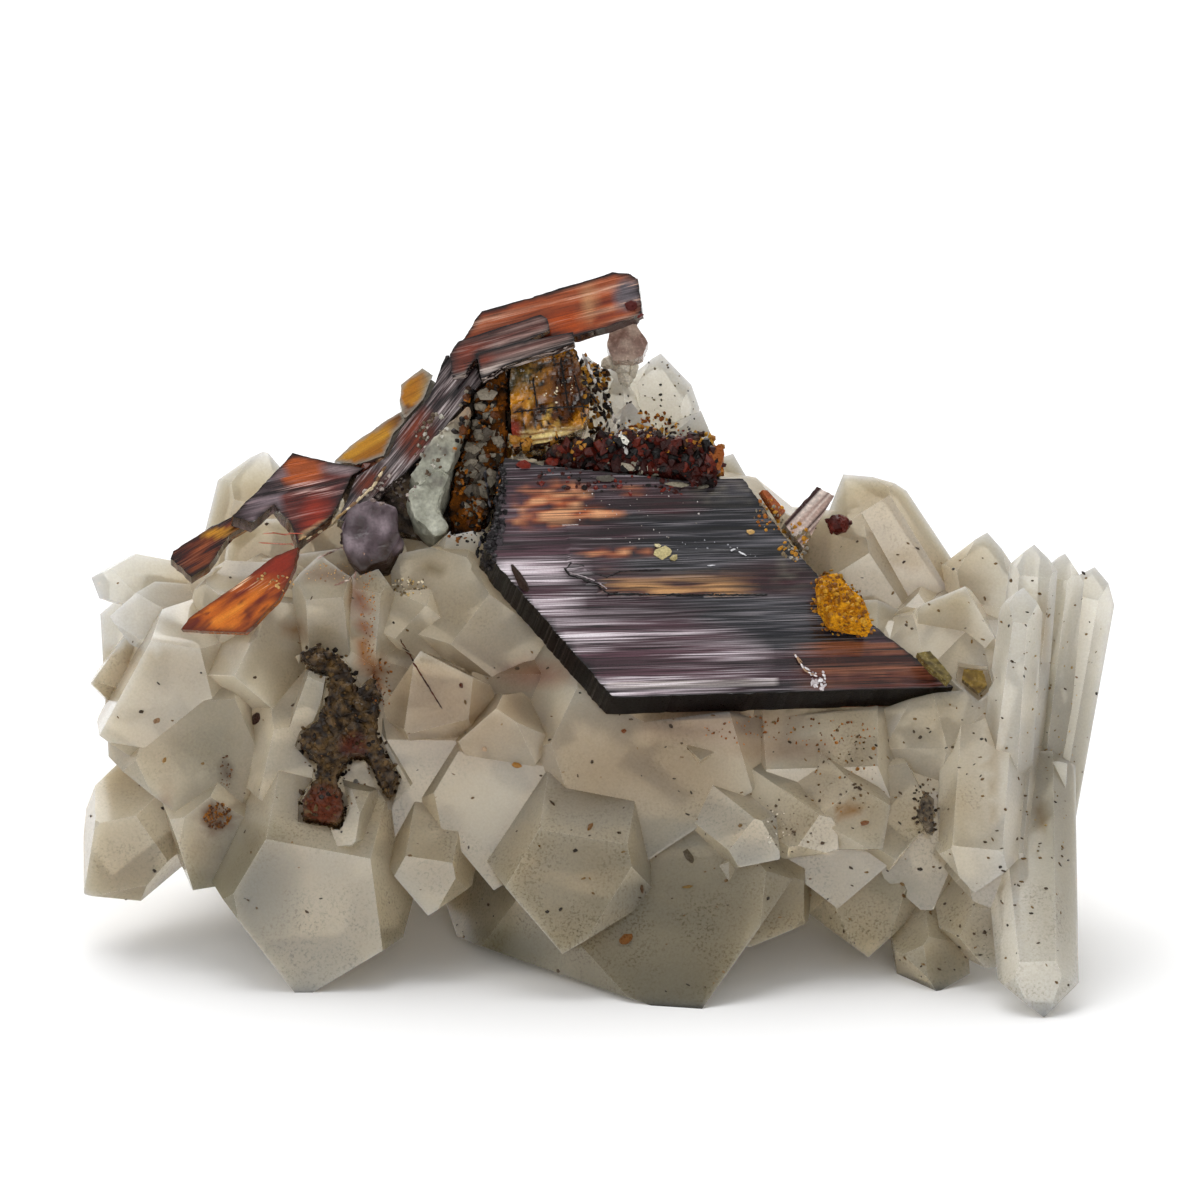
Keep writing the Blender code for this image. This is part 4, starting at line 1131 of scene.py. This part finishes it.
# Small raised marks on the crystals: right, up, length, width in mm, turn in degrees, colour.
MARKS = [
    (3.2, 22.85, 1.1, 0.75, 10, "c4b684"), (3.7, 22.6, 0.5, 0.35, 40, "a89a6c"),
    (2.9, 23.2, 0.4, 0.25, 0, "d8cca0"), (-4.05, 21.5, 2.1, 0.5, 117, "2a180e"),
    (-4.0, 21.5, 1.6, 0.2, 117, "b8947a"), (10.0, 17.5, 0.7, 0.10, -50, "a8886c"),
    # The near-white flakes on the main crystal at (10.4, 17.0), (11.1, 16.4), (7.2, 22.8), (6.7, 23.0)
    # and (5.6, 22.2) are painted glints.
    (10.4, 17.0, 0.4, 0.14, -35, "e8e4e6"), (11.1, 16.4, 0.35, 0.25, 20, "f0ecee"),
    (7.2, 22.8, 0.5, 0.1, -30, "e0e0e4"), (6.7, 23.0, 0.3, 0.12, 20, "d8d8dc"),
    (5.6, 22.2, 0.5, 0.08, 5, "d0d0d6"), (3.9, 26.3, 1.3, 0.35, -5, "8a8270"),
    (5.2, 26.2, 0.7, 0.3, 8, "6a6458"), (0.3, 26.6, 1.2, 0.4, 0, "57524a"),
    (1.4, 27.2, 0.9, 0.4, -20, "a09684"), (2.6, 26.9, 1.0, 0.35, 15, "8c8676"),
    (7.6, 23.9, 0.5, 0.3, 0, "c8a060"), (1.6, 35.4, 0.7, 0.7, 20, "4a1410"),
    (2.0, 35.0, 0.5, 0.4, 0, "5c1c14"), (5.9, 27.7, 1.6, 0.9, 80, "8a4a1c"),
    (5.6, 27.5, 1.4, 0.3, 80, "6a2c10"), (-2.4, 27.5, 0.9, 0.7, 30, "7a2412"),
    (-3.9, 27.3, 0.8, 0.6, 0, "6a1c0e"), (1.2, 28.6, 0.9, 0.4, -30, "e0dcd0"),
]
# Fine lines and seams: points of the view, flake length and width in mm, colours.
TRAILS = [
    # The first line, black under the raised step of the main crystal, is a painted shadow that the step
    # casts.
    ([(-1.75, 22.0), (-1.6, 21.7), (-0.9, 21.5), (-0.2, 21.25), (0.1, 20.95), (0.45, 20.75),
      (4.0, 20.72), (8.4, 20.7)], 0.5, 0.12, "0a0808 140e0c"),
    ([(-1.75, 22.0), (-1.5, 22.3), (-0.9, 22.2), (-0.6, 21.9), (0.3, 21.6), (1.0, 21.9), (3.0, 22.0)],
     0.4, 0.07, "181214 2a2226"),
    ([(-1.6, 21.85), (-0.9, 21.65), (-0.2, 21.4), (0.2, 21.1), (0.5, 20.9)], 0.4, 0.06,
     "9a8c90 c0b4b8"),
    ([(-1.0, 33.3), (-0.5, 32.2), (-0.1, 31.3), (0.5, 30.4), (1.0, 29.2), (1.35, 27.9)],
     0.45, 0.16, "c8c4c0 2a2420 8a8480 e8e4e0"),
    ([(-1.3, 33.2), (-0.8, 32.0), (-0.4, 31.0), (0.2, 30.0), (0.6, 29.0)], 0.4, 0.14,
     "2a2420 100c0a 5a3c14"),
    ([(-15.2, 23.5), (-13.6, 24.4), (-12.6, 25.2), (-11.5, 26.2), (-10.9, 27.2)], 0.5, 0.16,
     "d8c4a0 a8885c 7a5c40"),
    # A streak of painted glint on the main crystal's lower right, with tan flakes.
    ([(9.8, 17.7), (10.3, 16.9), (10.9, 16.6)], 0.3, 0.10, "e8e0e0 a8886c"),
    ([(-3.4, 31.7), (-3.2, 30.3)], 0.4, 0.10, "0c0604 1a0d05"),
    ([(-2.0, 32.7), (-1.6, 30.2)], 0.4, 0.12, "0c0604 1a0d05"),
    ([(-1.3, 31.9), (-0.8, 30.0)], 0.4, 0.10, "0c0604 1a0d05"),
    ([(-4.4, 30.0), (-2.4, 30.25), (-0.8, 30.3)], 0.4, 0.09, "0c0604 2a1506"),
    ([(-17.2, 23.4), (-15.2, 23.3)], 0.9, 0.06, "c86a5a e0a090"),
    ([(-17.0, 23.9), (-15.2, 23.8)], 0.8, 0.06, "b8503c d88a78"),
    ([(-14.2, 22.6), (-13.0, 23.2), (-11.9, 22.8), (-12.4, 21.6), (-13.4, 21.2)], 0.4, 0.10,
     "b09488 8c6c60 d0c0b4"),
    ([(-5.9, 27.4), (-5.6, 25.2), (-6.3, 22.6)], 0.4, 0.18, "0a0809 2c2a2e 58565c"),
]
# Ragged bits that fill the slit between the wing, the ridge and the amber blades, and that tie
# the round crystal to the blade and the quartz: right, up, deep, half size in mm, colour.
PLUGS = [
    (-11.9, 27.2, 10.2, 0.5, "5c2a1a"), (-11.5, 27.1, 10.4, 0.55, "7a4a34"),
    (-11.1, 27.4, 10.4, 0.5, "8a6a50"), (-11.6, 27.6, 10.6, 0.4, "4a2418"),
    (-12.3, 27.1, 10.3, 0.4, "6a3c28"),
    (0.9, 34.7, 12.0, 0.35, "5a4a40"), (1.7, 34.8, 12.0, 0.35, "4a3a34"),
    (0.5, 32.6, 12.6, 0.5, "c8beac"), (1.0, 32.4, 12.8, 0.55, "d0c8b8"),
    (1.6, 32.4, 13.0, 0.5, "c8beac"), (1.3, 32.0, 13.2, 0.6, "d4ccbc"),
]
# Loose grains: middle and half sizes in the view, how many, half sizes in mm, colours.
CRUMBS = [
    # The near-white grains of this first row are painted glints on the main crystal.
    ((11.0, 16.5), (0.5, 0.6), 26, (0.05, 0.15), "f4f0f2 d8d0d2 b8aeb0 8a7c80"),
    ((-11.7, 20.0), (0.4, 3.2), 150, (0.02, 0.05), "a85f12 8a4c10 c07a20 6a3a10"),
    ((-19.3, 9.6), (0.7, 0.7), 130, (0.04, 0.10), "6a3c08 8a5410 4a2a08"),
    ((-18.9, 11.8), (0.3, 0.9), 30, (0.03, 0.07), "6a3c10 4a2a10"),
    ((-13.4, 21.9), (1.8, 0.5), 60, (0.02, 0.05), "a87a40 8a6a50 c8a060"),
    ((-11.0, 16.2), (0.5, 1.4), 60, (0.03, 0.08), "8a4c10 6a3a10"),
    # The pale cream grains of this row are painted glints on the golden crystal.
    ((-2.6, 31.4), (1.4, 1.0), 22, (0.03, 0.07), "f8ecd0 e8d8b0"),
    ((-5.9, 27.6), (0.9, 3.4), 60, (0.18, 0.42), "7a7264 5a5248 3c3428 8a8070"),
    # The pale grey specks of this row and the next are painted glints on the main crystal.
    ((5.6, 22.7), (2.4, 0.9), 26, (0.02, 0.05), "d8d8dc a8a8b0"),
    ((2.0, 25.0), (3.6, 1.6), 40, (0.02, 0.05), "d0c8c4 8a8078"),
    ((2.6, 29.4), (1.5, 0.8), 90, (0.05, 0.15), "b8741a 8a4a12 2a1a10 d8a040"),
    ((3.5, 30.5), (3.2, 2.4), 90, (0.03, 0.09), "2a2420 4a4038 6a5a40"),
    ((-0.2, 32.4), (0.8, 1.2), 90, (0.06, 0.2), "8a5a1a 3a2412 c08a2a 1a100a"),
    ((-0.2, 30.6), (0.7, 1.8), 90, (0.06, 0.2), "6a4414 2a1a10 a87424 140c08"),
    ((-2.6, 28.2), (2.4, 0.6), 130, (0.08, 0.26), "120c0a 2c1a10 4a2a14 b0782a"),
    ((1.8, 27.8), (4.4, 0.9), 170, (0.14, 0.42), "4a140a 2c0a06 5c1c0e 2c0a06 0c0605 0c0605"),
    ((2.6, 28.6), (3.6, 0.6), 90, (0.06, 0.18), "b8862c 8a5a1a 1a100a"),
    ((4.9, 28.3), (1.4, 0.7), 50, (0.08, 0.22), "9a6420 c89430 3a2010"),
    ((2.5, 27.2), (2.4, 0.35), 20, (0.08, 0.22), "a8a090 8a8474"),
    ((-5.15, 25.6), (0.4, 2.3), 150, (0.06, 0.20), "0e0b0c 1e1a1c 3a3438 080607"),
    ((-5.6, 23.0), (0.4, 1.0), 60, (0.06, 0.16), "0e0b0c 1e1a1c"),
    ((-6.2, 27.8), (1.2, 3.8), 260, (0.06, 0.24), "a8641a 5a3010 1c120c 8a8070 0e0907 3a2414"),
    ((-8.6, 28.6), (0.9, 1.8), 60, (0.05, 0.16), "b8b4a8 8c8274 5c4a38"),
    ((-10.6, 26.0), (1.4, 0.8), 70, (0.05, 0.16), "7a6a64 4a3a34 b0a49c"),
    ((8.6, 24.8), (0.8, 0.9), 60, (0.04, 0.12), "c08424 9a5a18 6a5a48 8a8070"),
    ((9.9, 23.4), (0.8, 1.0), 70, (0.05, 0.16), "a8a094 7a6a50 b07a20"),
    ((-9.6, 21.2), (0.9, 0.5), 60, (0.03, 0.09), "e8dcc0 6a5a40 c0a060"),
    ((-16.4, 21.4), (1.5, 0.5), 24, (0.04, 0.10), "c8a060 8a6a40"),
    ((9.5, 13.9), (4.5, 0.8), 90, (0.03, 0.09), "8a4c20 6a4020 a8682c"),
    ((12.4, 12.2), (1.6, 2.4), 70, (0.03, 0.10), "5c4426 8a5a20 3a2c1e"),
    ((16.4, 10.0), (0.7, 1.6), 50, (0.04, 0.12), "2e2418 5c4830"),
    ((9.0, 9.2), (1.0, 1.0), 30, (0.03, 0.08), "d8d0c0 4a3a28"),
    ((-13.3, 12.2), (1.8, 3.2), 60, (0.03, 0.08), "3a2a1c 6a4a2c"),
    ((22.6, 14.0), (1.6, 7.0), 60, (0.03, 0.08), "8a7038 5c4a28"),
]
# Colours of the loose grains round each crust.
CRUST_CRUMBS = {
    "iron_oxide_crust_left": "1c120a 3a2814 5a4424",
    "limonite_crust_right": "c08a1c a06a14 7a4a10",
    "iron_oxide_crust_top": "3a0e08 140a08 6a1c0e",
    "limonite_crust_left": "2a180c 7a4614 140c08 6a6456",
}


def front_tree(nodes):
    """A tree for sight lines that meet those nodes."""
    shape = bmesh.new()
    for name in nodes:
        shape.from_mesh(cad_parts[name].data)
    tree = BVHTree.FromBMesh(shape)
    shape.free()
    return tree


class Litter(Grains):
    """Small bodies that lie on what the front view shows."""

    def __init__(self, seed):
        super().__init__(random.Random(seed))
        self.front = front_tree(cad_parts)
        self.quartz = front_tree(["quartz_cluster"])

    def look(self, right, up, quartz_only):
        """The place and normal that the front view shows there."""
        start = spot(right, up, -60.0)
        place, normal, _, far = self.front.ray_cast(start, DEEP)
        if place is None:
            return None, None
        if quartz_only:
            behind = self.quartz.ray_cast(start, DEEP)
            if behind[0] is None or behind[3] > far + 1e-5:
                return None, None
        return place, normal

    def flake(self, right, up, length, width, turn, code, quartz_only=True, lift=0.01):
        """A flat lens that lies on the surface, raised by a lift in mm."""
        place, normal = self.look(right, up, quartz_only)
        if place is None:
            return
        lying = normal.to_track_quat("Z", "Y").to_matrix().to_4x4()
        upward = lying.inverted().to_3x3() @ UP
        spin = math.atan2(upward.y, upward.x) - math.pi / 2 + math.radians(turn)
        thick = min(0.16, width * 0.6)
        size = Matrix.Diagonal((*[part * MM / 2 for part in (length, width, thick)], 1.0))
        placed = Matrix.Translation(place + normal * lift * MM) @ lying
        self.add(placed @ Matrix.Rotation(spin, 4, "Z") @ size, 0.2, colour(code))

    def trail(self, points, length, width, codes, quartz_only=False, lift=0.12):
        """Flakes laid end to end along a line of the view."""
        codes = codes.split()
        for start, end in zip(points, points[1:]):
            start, way = Vector(start), Vector(end) - Vector(start)
            count = max(1, round(way.length / (0.6 * length)))
            for step in range(count):
                right, up = start + way * ((step + 0.5) / count)
                turn = math.degrees(math.atan2(way.y, way.x)) + self.chance.gauss(0.0, 6.0)
                long, wide = [size * self.chance.uniform(0.8, 1.3) for size in (length, width)]
                code = self.chance.choice(codes)
                self.flake(right, up, long, wide, turn, code, quartz_only, lift)

    def crumb(self, right, up, half, code):
        """A small grain, turned at random."""
        place, normal = self.look(right, up, False)
        if place is not None:
            self.add_turned(place - normal * 0.3 * half * MM, half, colour(code))

    def finish(self, name, finish):
        """Makes the piece."""
        shape = bmesh.new()
        self.pour(shape)
        piece = new_object(name, shape, [finish])
        values = []
        for shade in self.shades:
            values.extend((*shade, 1.0) * self.BODY_CORNERS)
        set_tint(piece.data, values)
        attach(piece, "root")


class SPECIMEN_OT_inclusions(bpy.types.Operator):
    """Scatter dark flakes, brown chips and a needle over the quartz"""

    bl_idname = "specimen.inclusions"
    bl_label = "Flakes in the quartz"

    def execute(self, context):
        litter = Litter(77)
        chance = litter.chance
        for row in FLAKES:
            litter.flake(*row)
        for _ in range(context.scene.specimen_quartz.specks):
            # Most lie towards the right end, as in the photo.
            rightward = chance.random() < 0.7
            right = RIGHT_END - abs(chance.gauss(0.0, 16.0)) if rightward else chance.uniform(-26, 26)
            up = chance.uniform(0.5, 25.0)
            length = chance.uniform(0.10, 0.30)
            code = chance.choice(SPECK_CODES)
            width = length * chance.uniform(0.3, 0.8)
            litter.flake(right, up, length, width, chance.gauss(-12, 35), code)
        litter.trail(NEEDLE, 0.4, 0.10, "4a1c0c 2c1208", True, 0.02)
        # Iron oxide, grown as scales in the quartz's skin: dark, with a weak gloss.
        finish = tinted_finish("oxide_flakes", 0.1, 0.01, 0.2, (0.2, 0.5), 1.6, 0.2)
        litter.finish("quartz_flakes", finish)
        return {"FINISHED"}


class SPECIMEN_OT_crumbs(bpy.types.Operator):
    """Scatter loose grains and raised marks over the crystals and crusts, among them painted glints and
    a painted shadow line
    """

    bl_idname = "specimen.crumbs"
    bl_label = "Loose grains"

    def execute(self, context):
        litter = Litter(78)
        chance = litter.chance
        for row in MARKS:
            litter.flake(*row, quartz_only=False, lift=0.10)
        for row in TRAILS:
            litter.trail(*row)
        for *place, half, code in PLUGS:
            litter.add_turned(spot(*place), half, colour(code))
        for middle, halves, count, sizes, codes in CRUMBS:
            for _ in range(count):
                turn, reach = chance.uniform(0, math.tau), math.sqrt(chance.random())
                right = middle[0] + halves[0] * reach * math.cos(turn)
                up = middle[1] + halves[1] * reach * math.sin(turn)
                litter.crumb(right, up, chance.uniform(*sizes), chance.choice(codes.split()))
        for node, codes in CRUST_CRUMBS.items():
            for place, _ in surface_spots(node, 240, chance, facing=-2.0):
                right, up = [part + chance.uniform(-0.3, 0.3) for part in seen_at(place)[:2]]
                litter.crumb(right, up, chance.uniform(0.05, 0.16), chance.choice(codes.split()))
        # Splinters of brookite, clay and iron oxide, freshly broken: uneven, half dull; the near-white
        # ones are painted glints.
        finish = tinted_finish("oxide_crumbs", 0.1, 0.01, 0.25, (0.2, 0.6), 1.6, 0.2)
        litter.finish("loose_grains_and_painted_light", finish)
        return {"FINISHED"}


class SPECIMEN_OT_stage(bpy.types.Operator):
    """Set up the floor, the light and the camera"""

    bl_idname = "specimen.stage"
    bl_label = "Stage"

    def execute(self, context):
        settings = context.scene.specimen_stage
        shape = bmesh.new()
        bmesh.ops.create_grid(shape, x_segments=1, y_segments=1, size=FLOOR_HALF)
        # White paper, as it is pressed: matt and even, without a mirror.
        finish = new_finish("floor_matt_white_paper", {
            "Base Color": (*settings.floor_colour, 1.0), "Roughness": 0.9, "Specular IOR Level": 0.1,
        })[0]
        new_object("floor", shape, [finish])
        add_sky(context, settings)
        add_lamp("key_from_top_back", Vector((-0.15, 0.55, 0.85)), 50.0, 2.0)
        add_lamp("fill_from_left", Vector((-0.85, -0.25, 0.6)), 40.0, 0.6)
        add_lamp("fill_from_front", Vector((0.1, -0.95, 0.3)), 30.0, 0.6)
        add_camera(context)
        return {"FINISHED"}


def add_sky(context, settings):
    """Light from all round, bright behind the specimen and dim in front of it."""
    world = bpy.data.worlds.new("studio")
    context.scene.world = world
    world.use_nodes = True
    tree = world.node_tree
    backdrop = tree.nodes["Background"]
    way = add_node(tree, "ShaderNodeTexCoord").outputs["Generated"]
    parts = add_node(tree, "ShaderNodeSeparateXYZ", {"Vector": way})
    rise = add_node(
        tree, "ShaderNodeMapRange",
        {"Value": parts.outputs["Y"], "From Min": -0.35, "From Max": 0.5,
         "To Min": settings.sky_front, "To Max": settings.sky_back},
        interpolation_type="SMOOTHSTEP",
    )
    tree.links.new(rise.outputs["Result"], backdrop.inputs["Strength"])
    backdrop.inputs["Color"].default_value = (1.0, 1.0, 1.0, 1.0)
    context.scene.view_settings.view_transform = "Standard"


def add_lamp(name, towards, spread, power):
    """A far soft lamp in that direction, that many degrees across."""
    light = bpy.data.lights.new(name, "SUN")
    light.angle = math.radians(spread)
    light.energy = power
    lamp = bpy.data.objects.new(name, light)
    bpy.context.scene.collection.objects.link(lamp)
    lamp.location = towards * LAMP_STAND
    lamp.rotation_mode = "QUATERNION"
    lamp.rotation_quaternion = (-towards).to_track_quat("-Z", "Y")


def add_camera(context):
    """The camera at the photograph's angle."""
    data = bpy.data.cameras.new("front_camera")
    camera = bpy.data.objects.new("front_camera", data)
    context.scene.collection.objects.link(camera)
    data.sensor_width = SENSOR_WIDTH
    data.lens = SENSOR_WIDTH * CAMERA_DISTANCE / PICTURE_WIDTH
    data.clip_start = 0.01
    camera.location = spot(0.0, VIEW_MIDDLE_UP, 0.0) - DEEP * CAMERA_DISTANCE
    camera.rotation_mode = "QUATERNION"
    camera.rotation_quaternion = DEEP.to_track_quat("-Z", "Y")
    context.scene.camera = camera


OPERATORS = (
    SPECIMEN_OT_quartz,
    SPECIMEN_OT_main_crystal,
    SPECIMEN_OT_blades,
    SPECIMEN_OT_books,
    SPECIMEN_OT_lumps,
    SPECIMEN_OT_crusts,
    SPECIMEN_OT_inclusions,
    SPECIMEN_OT_crumbs,
    SPECIMEN_OT_stage,
)


class SPECIMEN_PT_panel(bpy.types.Panel):
    """The specimen's pieces and settings"""

    bl_idname = "SPECIMEN_PT_panel"
    bl_label = "Brookite on quartz"
    bl_space_type = "VIEW_3D"
    bl_region_type = "UI"
    bl_category = "Specimen"

    def draw(self, context):
        for operator in OPERATORS:
            self.layout.operator(operator.bl_idname)
        for name, kind in SETTINGS.items():
            box = self.layout.box()
            for entry in kind.__annotations__:
                box.prop(getattr(context.scene, name), entry)


SETTINGS = {
    "specimen_quartz": QuartzSettings,
    "specimen_brookite": BrookiteSettings,
    "specimen_crust": CrustSettings,
    "specimen_stage": StageSettings,
}


def register():
    for kind in (*SETTINGS.values(), *OPERATORS, SPECIMEN_PT_panel):
        bpy.utils.register_class(kind)
    for name, kind in SETTINGS.items():
        setattr(bpy.types.Scene, name, PointerProperty(type=kind))


def unregister():
    for name in SETTINGS:
        delattr(bpy.types.Scene, name)
    for kind in (SPECIMEN_PT_panel, *reversed(OPERATORS), *SETTINGS.values()):
        bpy.utils.unregister_class(kind)


def main():
    register()
    bpy.ops.specimen.quartz()
    bpy.ops.specimen.main_crystal()
    bpy.ops.specimen.blades()
    bpy.ops.specimen.books()
    bpy.ops.specimen.lumps()
    bpy.ops.specimen.crusts()
    bpy.ops.specimen.inclusions()
    bpy.ops.specimen.crumbs()
    bpy.ops.specimen.stage()


if __name__ == "__main__":
    main()
